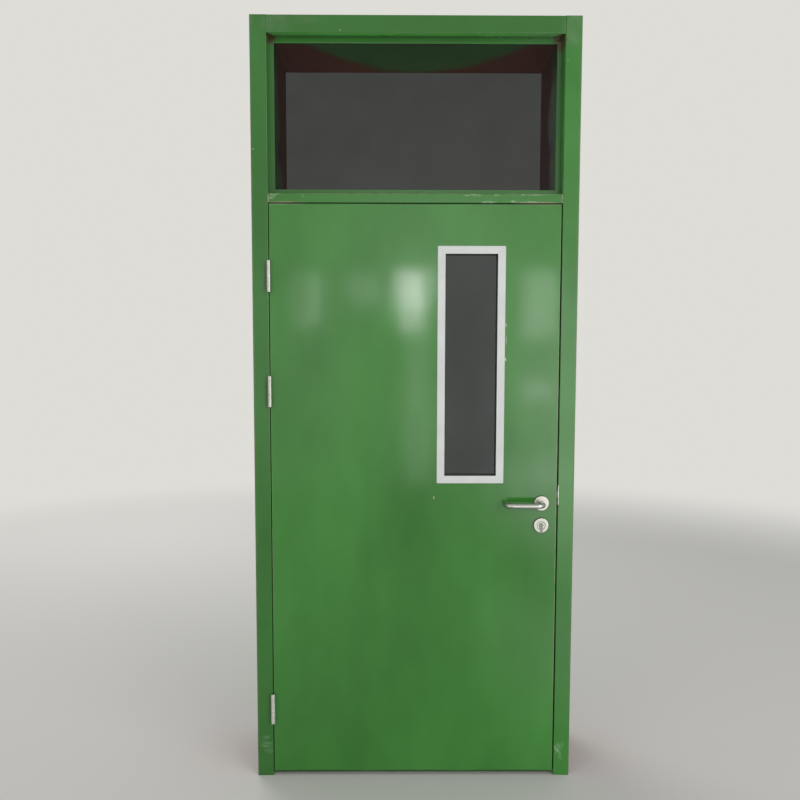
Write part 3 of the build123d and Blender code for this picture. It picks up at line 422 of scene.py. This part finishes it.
# Green clouds that reached farther over the primer of the jambs' reveals, beyond the top light's glass.
jambSpray = {
    "strength": 1.0, "grain": (16, 16, 16), "cut": (0.20, 0.45),
    "patches": [
        {"place": (-0.4935, -0.03, 2.353), "half": (0.02, 0.10, 0.065), "edge": 0.6},
        {"place": (-0.4935, -0.02, 2.175), "half": (0.02, 0.18, 0.095), "edge": 0.6},
        {"place": (0.4935, -0.03, 2.385), "half": (0.02, 0.11, 0.150), "edge": 0.6},
        {"place": (0.4935, -0.05, 2.220), "half": (0.02, 0.09, 0.080), "edge": 0.6},
    ],
}

# A dark and a pale line where the head meets each jamb.
jointSettings = {
    "low": 2.640,            # they run up from here
    "half": 0.0011,
    "apart": 0.0022,
    "colours": {"dark": "#1C3E18", "pale": "#5C8752"},
    "weights": {"dark": 0.85, "pale": 0.5},
    "sides": {"left": {"x": -0.5125, "weight": 0.55}, "right": {"x": 0.5125, "weight": 1.0}},
}


# The coat that all the green enamels share: colour, roughness and the normal from peel and ripples.
def enamelCoat(tree, coords, paint):
    stretched = addNode(tree, "Mapping", {"vector_type": "POINT"}, Vector=coords,
                        Scale=paint.get("stretch", (1, 1, 1)))
    cloud = addNode(tree, "TexNoise", Vector=stretched, Scale=paint["cloud"], Detail=5.0, Roughness=0.55)
    stops = [(0.28, paint["deepGreen"]), (0.5, paint["green"]), (0.74, paint["paleGreen"])]
    colour = addNode(tree, "ValToRGB", {"stops": stops}, Fac=cloud.outputs["Fac"])
    dull = addNode(tree, "TexNoise", Vector=coords, Scale=paint["cloud"] * 4, Detail=4.0, Roughness=0.6)
    lowRough, highRough = paint["roughness"]
    rough = addNode(tree, "MapRange", Value=dull.outputs["Fac"], From_Min=0.3, From_Max=0.7,
                    To_Min=lowRough, To_Max=highRough)
    ripple = addNode(tree, "TexNoise", Vector=stretched, Scale=paint["ripple"], Detail=1.0, Roughness=0.4)
    slow = addNode(tree, "Bump", Strength=1.0, Distance=paint["rippleDepth"], Height=ripple.outputs["Fac"])
    peel = addNode(tree, "TexNoise", Vector=coords, Scale=paint["peel"], Detail=1.5, Roughness=0.5)
    fine = addNode(tree, "Bump", Strength=1.0, Distance=paint["peelDepth"], Height=peel.outputs["Fac"],
                   Normal=slow)
    return {
        "colour": colour.outputs["Color"],
        "rough": rough.outputs["Result"],
        "normal": fine.outputs["Normal"],
    }


def finishEnamel(tree, coat):
    shader = addNode(tree, "BsdfPrincipled", Base_Color=coat["colour"], Roughness=coat["rough"],
                     Normal=coat["normal"], IOR=1.5)
    addNode(tree, "OutputMaterial", Surface=shader)


# Where the sheet of the frame lies.
sheetSettings = {
    "reveal": 0.4935,        # from the middle of the doorway to a jamb's reveal
    "soffit": 2.621,
    "stopFace": -0.096,
    "stopWidth": 0.019,
    "beyondGlass": -0.090,   # behind this the reveal lies beyond the top light's glass
    "barTop": 2.102,
    "skin": 0.0007,          # under half the sheet, so that a face is told from the other side of its sheet
    "backFold": 0.0012,      # how far the green of the back face reaches round its fold
}
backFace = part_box("jamb_hinge_side")[1].y

# The green mist that the spray gun left on the primer beyond the top light's glass.
spraySettings = {
    "jambReach": 0.005,      # a band beside the stop, fading within a hand's breadth
    "fanMiddle": 0.01,       # a fan on the soffit, which reaches the back edge in its middle
    "fanReach": 0.215,
    "fanBow": -1.9,
    "wander": 0.09,          # how far the ragged edge wanders
    "edge": (0.02, 0.10),
    "roughness": 0.45,       # it dried paler and duller than the coat
}
primerRoughness = 0.92


# 1 on the side of the sheet that shows, 0 on its hidden side. across is the distance outwards from the
# reveal on a jamb, and upwards from the soffit on the head.
def shownSide(tree, across, depth):
    skin = sheetSettings["skin"]
    stopEnd = sheetSettings["stopWidth"] + skin
    stopSkin = sheetSettings["stopFace"] + skin
    front = addNode(tree, "Math", {"operation": "LESS_THAN"}, i0=depth, i1=frontFace + skin)
    back = addNode(tree, "Math", {"operation": "GREATER_THAN"}, i0=depth, i1=backFace - skin)
    reveal = addNode(tree, "Math", {"operation": "LESS_THAN"}, i0=across, i1=skin)
    besideStop = addNode(tree, "Math", {"operation": "LESS_THAN"}, i0=across, i1=stopEnd)
    beforeStop = addNode(tree, "Math", {"operation": "LESS_THAN"}, i0=depth, i1=stopSkin)
    shown = addNode(tree, "Math", {"operation": "MULTIPLY"}, i0=besideStop, i1=beforeStop)
    for part in (reveal, back, front):
        shown = addNode(tree, "Math", {"operation": "MAXIMUM"}, i0=shown, i1=part)
    return shown


def layJoints(tree, coat, x, z):
    for side in jointSettings["sides"].values():
        inwards = -1 if side["x"] > 0 else 1
        for tone, shift in (("dark", 0.0), ("pale", inwards * jointSettings["apart"])):
            line = addNode(tree, "Math", {"operation": "COMPARE"}, i0=x, i1=side["x"] + shift,
                           i2=jointSettings["half"])
            high = addNode(tree, "Math", {"operation": "GREATER_THAN"}, i0=z, i1=jointSettings["low"])
            line = addNode(tree, "Math", {"operation": "MULTIPLY"}, i0=line, i1=high)
            line = addNode(tree, "Math", {"operation": "MULTIPLY"}, i0=line,
                           i1=jointSettings["weights"][tone] * side["weight"])
            layOver(tree, coat, line, toLinear(jointSettings["colours"][tone]))


def makeFrameEnamel(name, member, paint=enamelSettings):
    material, tree = newMaterial(name)
    coords = addNode(tree, "TexCoord").outputs["Object"]
    x, y, z = addNode(tree, "SeparateXYZ", Vector=coords).outputs
    coat = enamelCoat(tree, coords, paint)
    for kind in frameWearAndShade:
        layOver(tree, coat, wearAndShadeMask(tree, coords, kind), toLinear(kind["colour"]), wornRoughness)
    layJoints(tree, coat, x, z)

    # how far a point lies inside the edge of the green mist
    if member == "jamb":
        outwards = addNode(tree, "Math", {"operation": "ABSOLUTE"}, i0=x)
        across = addNode(tree, "Math", {"operation": "SUBTRACT"}, i0=outwards, i1=sheetSettings["reveal"])
        inside = addNode(tree, "Math", {"operation": "SUBTRACT"}, i0=spraySettings["jambReach"], i1=y)
    else:
        across = addNode(tree, "Math", {"operation": "SUBTRACT"}, i0=z, i1=sheetSettings["soffit"])
        offset = addNode(tree, "Math", {"operation": "SUBTRACT"}, i0=x, i1=spraySettings["fanMiddle"])
        bow = addNode(tree, "Math", {"operation": "MULTIPLY"}, i0=offset, i1=offset)
        bow = addNode(tree, "Math", {"operation": "MULTIPLY_ADD"}, i0=bow, i1=spraySettings["fanBow"],
                      i2=spraySettings["fanReach"])
        inside = addNode(tree, "Math", {"operation": "SUBTRACT"}, i0=bow, i1=y)
    ragged = addNode(tree, "TexNoise", Vector=coords, Scale=11.0, Detail=3.0, Roughness=0.55)
    inside = addNode(tree, "Math", {"operation": "MULTIPLY_ADD"}, i0=ragged.outputs["Fac"],
                     i1=spraySettings["wander"], i2=inside)
    lowEdge, highEdge = spraySettings["edge"]
    mist = addNode(tree, "MapRange", {"interpolation_type": "SMOOTHSTEP"}, Value=inside, From_Min=lowEdge,
                   From_Max=highEdge)
    if member == "jamb":
        mist = addNode(tree, "Math", {"operation": "MAXIMUM"}, i0=mist, i1=wearAndShadeMask(tree, coords, jambSpray))

    # beyond the glass the primer shows wherever the mist didn't reach
    aboveBar = addNode(tree, "Math", {"operation": "GREATER_THAN"}, i0=z, i1=sheetSettings["barTop"])
    behindGlass = addNode(tree, "Math", {"operation": "GREATER_THAN"}, i0=y, i1=sheetSettings["beyondGlass"])
    beforeBack = addNode(tree, "Math", {"operation": "LESS_THAN"}, i0=y,
                         i1=backFace - sheetSettings["backFold"])
    bare = addNode(tree, "Math", {"operation": "SUBTRACT"}, i0=1.0, i1=mist)
    for part in (aboveBar, behindGlass, beforeBack):
        bare = addNode(tree, "Math", {"operation": "MULTIPLY"}, i0=bare, i1=part)
        mist = addNode(tree, "Math", {"operation": "MULTIPLY"}, i0=mist, i1=part)
    layOver(tree, coat, mist, toLinear(paint["overspray"]), spraySettings["roughness"])

    # and all over the hidden side of the sheet
    unseen = addNode(tree, "Math", {"operation": "SUBTRACT"}, i0=1.0, i1=shownSide(tree, across, y))
    bare = addNode(tree, "Math", {"operation": "MAXIMUM"}, i0=bare, i1=unseen)
    rust = addNode(tree, "TexNoise", Vector=coords, Scale=9.0, Detail=6.0, Roughness=0.6)
    stops = [(0.35, paint["primer"]), (0.7, paint["primerDust"])]
    primer = addNode(tree, "ValToRGB", {"stops": stops}, Fac=rust.outputs["Fac"])
    layOver(tree, coat, bare, primer.outputs["Color"], primerRoughness)
    layOver(tree, coat, wearAndShadeMask(tree, coords, primerAndShade), toLinear(primerAndShade["colour"]), primerRoughness)
    finishEnamel(tree, coat)
    return material


# Enamel on the pieces that are green all round, with their wear and painted shade.
def makeEnamel(name, paint, wear, wearRoughness=wornRoughness):
    material, tree = newMaterial(name)
    coords = addNode(tree, "TexCoord").outputs["Object"]
    coat = enamelCoat(tree, coords, paint)
    for kind in wear:
        layOver(tree, coat, wearAndShadeMask(tree, coords, kind), toLinear(kind["colour"]), wearRoughness)
    finishEnamel(tree, coat)
    return material


# The lock jamb's greens are lighter than the hinge jamb's: painted light, as the light falls from the front
# right.
litLockJambPaint = {**enamelSettings, "green": "#37782E", "deepGreen": "#316E29", "paleGreen": "#3D8035"}
barPaint = {**enamelSettings, "green": "#39772F", "deepGreen": "#336E28"}
beadPaint = {**enamelSettings, "rippleDepth": 0.0002}
dress(makeFrameEnamel("gloss_enamel_on_hinge_jamb", "jamb"), "jamb_hinge_side")
dress(makeFrameEnamel("gloss_enamel_on_lock_jamb", "jamb", litLockJambPaint), "jamb_lock_side")
dress(makeFrameEnamel("gloss_enamel_on_head", "head"), "frame_head")
dress(makeEnamel("gloss_enamel_on_bar", barPaint, frameWearAndShade), "transom_bar")
dress(makeEnamel("gloss_enamel_on_beads", beadPaint, [primerAndShade], None), "transom_bead_top",
      "transom_bead_bottom", "transom_bead_hinge_side", "transom_bead_lock_side", "transom_bead_screws")
print("frame enamelled")

leafSettings = {
    **enamelSettings,
    "green": "#38782E",
    "deepGreen": "#306C27",
    "paleGreen": "#418538",
    "roughness": (0.085, 0.115),
    "cloud": 2.0,
    "stretch": (1.6, 1.0, 0.7),   # the ripples stand upright on the leaf
    "ripple": 4.2,
    "rippleDepth": 0.0008,
}

leafWearAndShade = [
    {   # chips beside the glazed panel's rim, through to the primer's pale dust
        "colour": "#C9C6B4", "strength": 0.9, "grain": (90, 90, 90), "cut": (0.22, 0.42),
        "patches": [
            {"place": (0.3190, frontFace, 1.526), "half": (0.0042, 0.02, 0.0085), "edge": 0.7},
            {"place": (0.3200, frontFace, 1.647), "half": (0.0032, 0.02, 0.0100), "edge": 0.7, "amount": 0.5},
            {"place": (0.0690, frontFace, 1.032), "half": (0.0028, 0.02, 0.0085), "edge": 0.7, "amount": 0.7},
            {"place": (0.3210, frontFace, 1.595), "half": (0.0024, 0.02, 0.0260), "edge": 0.7, "amount": 0.4},
        ],
    },
    {   # a pale, dull line along the edge that meets the lock side, fainter on the hinge side, and under the bar
        "colour": "#93977C", "strength": 0.62, "grain": (40, 40, 16), "cut": (0.32, 0.58),
        "patches": [
            {"place": (0.5085, frontFace, 1.04), "half": (0.0050, 0.02, 1.35), "edge": 0.9},
            {"place": (-0.46, frontFace, 2.0640), "half": (0.10, 0.02, 0.0036), "edge": 0.9},
            {"place": (0.45, frontFace, 2.0640), "half": (0.10, 0.02, 0.0036), "edge": 0.9, "amount": 0.6},
            {"place": (-0.5095, frontFace, 1.04), "half": (0.0040, 0.02, 1.3), "edge": 0.9, "amount": 0.5},
        ],
    },
    {   # painted shade: dark lines along the top edge, under the bar, and along the bottom edge, for the shadow in the gaps
        "colour": "#18240F", "strength": 0.85, "grain": (14, 30, 30), "cut": (0.10, 0.35),
        "patches": [
            {"place": (across, frontFace, height), "half": (0.30, 0.004, reach), "edge": 0.35}
            for across in (-0.36, 0.0, 0.36) for height, reach in ((2.0660, 0.0026), (0.0140, 0.0075))
        ],
    },
    {   # painted shade: a dark ring round each rose, where its shadow falls on the leaf
        "colour": "#1F3A18", "strength": 0.7, "grain": (60, 60, 60), "cut": (0.10, 0.35),
        "patches": [
            {"place": (0.4535, frontFace, height), "half": (0.0305, 0.004, 0.0305), "edge": 0.12}
            for height in (1.013, 0.933)
        ],
    },
]

dress(makeEnamel("gloss_enamel_on_leaf", leafSettings, leafWearAndShade), "leaf_front_skin", "leaf_back_skin",
      "leaf_top_channel", "leaf_bottom_channel", "vision_opening_liner")
print("leaf enamelled")


# Stainless steel with a satin, linished face: soft grey-white, with fine lines along the grain.
def makeStainless(name, steel):
    material, tree = newMaterial(name)
    coords = addNode(tree, "TexCoord").outputs["Object"]
    if "centre" in steel:   # turned parts have their lines in rings round a centre
        moved = addNode(tree, "VectorMath", {"operation": "SUBTRACT"}, i0=coords, i1=steel["centre"])
        flat = addNode(tree, "VectorMath", {"operation": "MULTIPLY"}, i0=moved, i1=(1, 0, 1))
        ring = addNode(tree, "VectorMath", {"operation": "LENGTH"}, i0=flat)
        lines = addNode(tree, "TexNoise", {"noise_dimensions": "1D"}, W=ring.outputs["Value"],
                        Scale=steel["grain"][0], Detail=3.0, Roughness=0.6)
    else:
        stretched = addNode(tree, "Mapping", {"vector_type": "POINT"}, Vector=coords, Scale=steel["grain"])
        lines = addNode(tree, "TexNoise", Vector=stretched, Scale=1.0, Detail=3.0, Roughness=0.6)
    stops = [(0.25, steel["dark"]), (0.75, steel["light"])]
    tone = addNode(tree, "ValToRGB", {"stops": stops}, Fac=lines.outputs["Fac"])
    blotch = addNode(tree, "TexNoise", Vector=coords, Scale=45.0, Detail=3.0, Roughness=0.5)
    lowRough, highRough = steel["roughness"]
    rough = addNode(tree, "MapRange", Value=blotch.outputs["Fac"], From_Min=0.3, From_Max=0.7,
                    To_Min=lowRough, To_Max=highRough)
    grooves = addNode(tree, "Bump", Strength=1.0, Distance=steel["groove"], Height=lines.outputs["Fac"])
    metal = addNode(tree, "BsdfPrincipled", Base_Color=tone.outputs["Color"], Metallic=1.0, Roughness=rough,
                    Normal=grooves)
    addNode(tree, "OutputMaterial", Surface=metal)
    return material


spindle = (0.4535, 0, 1.013)
lockCylinder = (0.4535, 0, 0.933)

# grain is in lines per metre along each axis: 1000 is one line a millimetre, coarser than the real 0.1 mm
steelSettings = {
    "satin_stainless_lever": {"dark": "#A2A49F", "light": "#BDBFB9", "roughness": (0.20, 0.26),
                              "grain": (40, 900, 900), "groove": 0.000008},
    "turned_stainless_lever_rose": {"dark": "#ACAAA2", "light": "#C2C0B8", "roughness": (0.30, 0.38),
                                    "grain": (900,), "centre": spindle, "groove": 0.00002},
    "turned_stainless_cylinder_rose": {"dark": "#ABACA4", "light": "#C2C3BA", "roughness": (0.30, 0.38),
                                       "grain": (900,), "centre": lockCylinder, "groove": 0.00002},
    "satin_stainless_hinge": {"dark": "#92968B", "light": "#AFB3A8", "roughness": (0.30, 0.40),
                              "grain": (60, 60, 900), "groove": 0.00002},
    # the lowest hinge is paler and duller than the others
    "pale_stainless_hinge": {"dark": "#CDD0C8", "light": "#E6E8E1", "roughness": (0.42, 0.52),
                              "grain": (60, 60, 900), "groove": 0.00002},
    "satin_stainless_plate": {"dark": "#D2D5CD", "light": "#E6E9E1", "roughness": (0.30, 0.38),
                              "grain": (900, 900, 30), "groove": 0.00002},
}
steels = {name: makeStainless(name, steel) for name, steel in steelSettings.items()}
dress(steels["satin_stainless_lever"], "lever_front", "lever_back")
dress(steels["turned_stainless_lever_rose"], "lever_rose_front", "lever_rose_back")
dress(steels["turned_stainless_cylinder_rose"], "cylinder_rose_front", "cylinder_rose_back")
dress(steels["satin_stainless_hinge"], "hinge_middle_frame_half", "hinge_top_frame_half",
      "hinge_middle_leaf_half", "hinge_top_leaf_half", "hinge_pins")
dress(steels["pale_stainless_hinge"], "hinge_bottom_frame_half", "hinge_bottom_leaf_half")
dress(steels["satin_stainless_plate"], "strike_plate", "lock_forend", "latch_bolt", "deadbolt",
      "vision_trim_screws", "rose_through_bolts")
print("stainless steel dressed")

# Float glass darkened grey as painted shade, for the dark room seen through the clear panes, with faint clear
# reflections and thin clouds of dust. Its IOR is below the usual 1.5, so that the panes mirror no more of the
# stage than they should.
glassSettings = {
    "darkened_glass_top_light": {"piece": "transom_glass", "shadeTint": "#474948", "dusty": "#4C4E4D", "ior": 1.22},
    "darkened_glass_panel": {"piece": "vision_glass", "shadeTint": "#464949", "dusty": "#4A4D4D", "ior": 1.3},
}
waverDepth = 0.0004     # the panes aren't quite flat
for name, glass in glassSettings.items():
    material, tree = newMaterial(name)
    coords = addNode(tree, "TexCoord").outputs["Object"]
    swell = addNode(tree, "TexNoise", Vector=coords, Scale=3.0, Detail=1.0, Roughness=0.3)
    waver = addNode(tree, "Bump", Strength=1.0, Distance=waverDepth, Height=swell.outputs["Fac"])
    dust = addNode(tree, "TexNoise", Vector=coords, Scale=9.0, Detail=3.0, Roughness=0.5)
    stops = [(0.35, glass["shadeTint"]), (0.75, glass["dusty"])]
    tone = addNode(tree, "ValToRGB", {"stops": stops}, Fac=dust.outputs["Fac"])
    pane = addNode(tree, "BsdfPrincipled", Base_Color=tone.outputs["Color"], Transmission_Weight=1.0,
                   Roughness=0.0, IOR=glass["ior"], Normal=waver)
    addNode(tree, "OutputMaterial", Surface=pane)
    dress(material, glass["piece"])
    nodes[glass["piece"]].visible_shadow = False     # lamps light what stands behind the panes


# Plain materials that only need a little life: a speckled colour, a varied roughness and a fine bump.
def makePlain(name, plain):
    material, tree = newMaterial(name)
    coords = addNode(tree, "TexCoord").outputs["Object"]
    speckle = addNode(tree, "TexNoise", Vector=coords, Scale=plain["speckle"], Detail=4.0, Roughness=0.6)
    stops = [(0.3, plain["dark"]), (0.7, plain["light"])]
    tone = addNode(tree, "ValToRGB", {"stops": stops}, Fac=speckle.outputs["Fac"])
    lowRough, highRough = plain["roughness"]
    rough = addNode(tree, "MapRange", Value=speckle.outputs["Fac"], From_Min=0.3, From_Max=0.7,
                    To_Min=lowRough, To_Max=highRough)
    grain = addNode(tree, "TexNoise", Vector=coords, Scale=plain["grain"], Detail=2.0, Roughness=0.5)
    bump = addNode(tree, "Bump", Strength=1.0, Distance=plain["depth"], Height=grain.outputs["Fac"])
    solid = addNode(tree, "BsdfPrincipled", Base_Color=tone.outputs["Color"], Roughness=rough, Normal=bump,
                    Metallic=plain.get("metallic", 0.0))
    addNode(tree, "OutputMaterial", Surface=solid)
    return material


plainSettings = {
    # extruded rubber: matt black with a grey bloom
    "black_rubber": {"dark": "#17181A", "light": "#2A2B2C", "speckle": 60, "roughness": (0.55, 0.75),
                     "grain": 700, "depth": 0.00003},
    # bright zinc plate: cool grey with cloudy spangle
    "zinc_plated_steel": {"dark": "#9EA3A8", "light": "#C6CACC", "speckle": 160, "roughness": (0.30, 0.48),
                          "grain": 900, "depth": 0.00002, "metallic": 1.0},
    # nickel plate on brass: slightly warm, smoother than the stainless steel beside it, and darkened as
    # painted shade for the recess in its rose
    "nickel_plated_brass": {"dark": "#6C6E67", "light": "#898B82", "speckle": 120, "roughness": (0.20, 0.30),
                            "grain": 800, "depth": 0.00001, "metallic": 1.0},
    # satin nickel on the turn, brushed paler than the cylinder
    "satin_nickel_turn": {"dark": "#A4A59D", "light": "#BFC0B7", "speckle": 120, "roughness": (0.28, 0.38),
                          "grain": 800, "depth": 0.00001, "metallic": 1.0},
    # acetal rings between the knuckles: off-white and waxy
    "acetal_rings": {"dark": "#A8A79F", "light": "#C2C1B8", "speckle": 200, "roughness": (0.35, 0.5),
                     "grain": 900, "depth": 0.00001},
    # powder-coated aluminium: even, silvery white, with a soft sheen and a fine pebbled skin
    "powder_coated_rim": {"dark": "#CACCC9", "light": "#D5D7D4", "speckle": 12, "roughness": (0.38, 0.5),
                          "grain": 500, "depth": 0.00002},
    # closed-cell glazing tape: dull dark grey
    "glazing_tape": {"dark": "#232423", "light": "#343534", "speckle": 300, "roughness": (0.7, 0.85),
                     "grain": 900, "depth": 0.00005},
    # kraft paper honeycomb, drawn as one block: brown board
    "kraft_honeycomb": {"dark": "#8F7350", "light": "#AC8F68", "speckle": 90, "roughness": (0.8, 0.9),
                        "grain": 400, "depth": 0.0001},
}
plains = {name: makePlain(name, plain) for name, plain in plainSettings.items()}

# The rim is mitred: a hairline runs out from each corner of the clear opening.
rimSettings = {"middle": (0.1975, 0, 1.503), "halfWidth": 0.092, "halfHeight": 0.3915, "line": 0.00022,
               "dark": "#8E908E"}
tree = plains["powder_coated_rim"].node_tree
coords = addNode(tree, "TexCoord").outputs["Object"]
moved = addNode(tree, "VectorMath", {"operation": "SUBTRACT"}, i0=coords, i1=rimSettings["middle"])
moved = addNode(tree, "VectorMath", {"operation": "ABSOLUTE"}, i0=moved)
away = addNode(tree, "SeparateXYZ", Vector=moved)
lead = addNode(tree, "Math", {"operation": "SUBTRACT"}, i0=away.outputs["X"], i1=away.outputs["Z"])
mitre = addNode(tree, "Math", {"operation": "COMPARE"}, i0=lead,
                i1=rimSettings["halfWidth"] - rimSettings["halfHeight"], i2=rimSettings["line"])
rimCoat = next(node for node in tree.nodes if node.type == "BSDF_PRINCIPLED").inputs["Base Color"]
mitred = {"colour": rimCoat.links[0].from_socket}
layOver(tree, mitred, mitre, toLinear(rimSettings["dark"]))
tree.links.new(mitred["colour"], rimCoat)
dress(plains["black_rubber"], "door_seal_hinge_side", "door_seal_lock_side", "door_seal_head",
      "vision_gaskets")
dress(plains["powder_coated_rim"], "vision_trim_front", "vision_trim_back")
dress(plains["glazing_tape"], "transom_glazing_tape")
dress(plains["zinc_plated_steel"], "wall_fixing_sleeves", "strike_screws", "strike_box",
      "hinge_backplates_frame", "hinge_frame_screws", "hinge_backplates_leaf", "hinge_leaf_screws",
      "lock_reinforcement", "lock_screws", "lock_case", "lock_case_cover", "lock_follower", "lever_spindle")
dress(plains["nickel_plated_brass"], "cylinder_body", "cylinder_plug")
dress(plains["satin_nickel_turn"], "thumb_turn")
dress(plains["acetal_rings"], "hinge_bearing_rings")
dress(plains["kraft_honeycomb"], "leaf_core")
print("glass, rubber, zinc and brass dressed")


def applyAll(piece):
    bpy.ops.object.select_all(action="DESELECT")
    piece.select_set(True)
    bpy.context.view_layer.objects.active = piece
    for modifier in list(piece.modifiers):
        bpy.ops.object.modifier_apply(modifier=modifier.name)
    bpy.ops.object.transform_apply(location=True, rotation=True, scale=True)


def copyPiece(piece, name, shift, body):
    twin = piece.copy()
    twin.data = piece.data.copy()
    twin.name = name
    scene.collection.objects.link(twin)
    twin.data.transform(Matrix.Translation(shift))
    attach(twin, body)
    return twin


# A grub screw under the neck of each lever, with its hexagon socket.
grubSettings = {
    "radius": 0.0025,
    "length": 0.006,
    "socket": 0.0014,
    "socketDepth": 0.0018,
    "edge": 0.0002,
    "neck": -0.1655,         # how deep the lever's neck lies
    "neckRadius": 0.0095,
    "proud": 0.0005,
    "leafMiddle": -0.1255,   # the back lever mirrors the front one about this
}
grubFoot = spindle[2] - grubSettings["neckRadius"] - grubSettings["proud"]
grubMiddle = grubFoot + grubSettings["length"] / 2
bpy.ops.object.select_all(action="DESELECT")
bpy.ops.mesh.primitive_cylinder_add(vertices=32, radius=grubSettings["radius"], depth=grubSettings["length"],
                                    location=(spindle[0], grubSettings["neck"], grubMiddle))
grub = bpy.context.object
grub.name = "lever_grub_screw_front"
bpy.ops.mesh.primitive_cylinder_add(vertices=6, radius=grubSettings["socket"],
                                    depth=2 * grubSettings["socketDepth"],
                                    location=(spindle[0], grubSettings["neck"], grubFoot))
socket = bpy.context.object
cut = grub.modifiers.new("socket", "BOOLEAN")
cut.operation = "DIFFERENCE"
cut.object = socket
edge = grub.modifiers.new("edge", "BEVEL")
edge.width = grubSettings["edge"]
edge.segments = 2
applyAll(grub)
bpy.data.objects.remove(socket)
grub.data.materials.clear()
grub.data.materials.append(plains["zinc_plated_steel"])
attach(grub, "lever_set")
mirrored = 2 * (grubSettings["leafMiddle"] - grubSettings["neck"])
grubBack = copyPiece(grub, "lever_grub_screw_back", (0, mirrored, 0), "lever_set")

# Stitches of weld in the corners above the soffit, where the head meets the jambs out of sight.
weldSettings = {
    "pool": 0.0036,
    "squash": (0.8, 0.75, 0.8),
    "pitch": 0.0034,
    "pools": 12,
    "places": (-0.052, 0.058, 0.168),
    "lead": 0.018,           # from the start of a stitch to its place, which is its middle
    "inset": 0.0012,
    "above": 0.0026,
}
# bead of mild steel weld, browned by its heat: dull, with a rough oxide skin
weldFinish = {"dark": "#4A3A34", "light": "#6B5A50", "speckle": 220, "roughness": (0.5, 0.7), "grain": 600,
              "depth": 0.0001, "metallic": 0.4}
weldSteel = makePlain("welded_steel", weldFinish)
weldX = sheetSettings["reveal"] - weldSettings["inset"]
firstWeld = weldSettings["places"][0]
bpy.ops.object.select_all(action="DESELECT")
bpy.ops.mesh.primitive_uv_sphere_add(segments=12, ring_count=8, radius=weldSettings["pool"],
                                     location=(-weldX, firstWeld - weldSettings["lead"],
                                               sheetSettings["soffit"] + weldSettings["above"]))
weld = bpy.context.object
weld.name = "head_weld_left_1"
bpy.ops.object.mode_set(mode="EDIT")
bpy.ops.mesh.select_all(action="SELECT")
bpy.ops.transform.resize(value=weldSettings["squash"])
bpy.ops.object.mode_set(mode="OBJECT")
row = weld.modifiers.new("row", "ARRAY")
row.count = weldSettings["pools"]
row.use_relative_offset = False
row.use_constant_offset = True
row.constant_offset_displace = (0, weldSettings["pitch"], 0)
applyAll(weld)
weld.data.shade_smooth()
weld.data.materials.append(weldSteel)
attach(weld, "frame")
for i, place in enumerate(weldSettings["places"]):
    for side, shift in (("left", 0.0), ("right", 2 * weldX)):
        if (i, side) == (0, "left"):
            continue
        twin = copyPiece(weld, f"head_weld_{side}_{i + 1}", (shift, place - firstWeld, 0), "frame")
print("small pieces made")
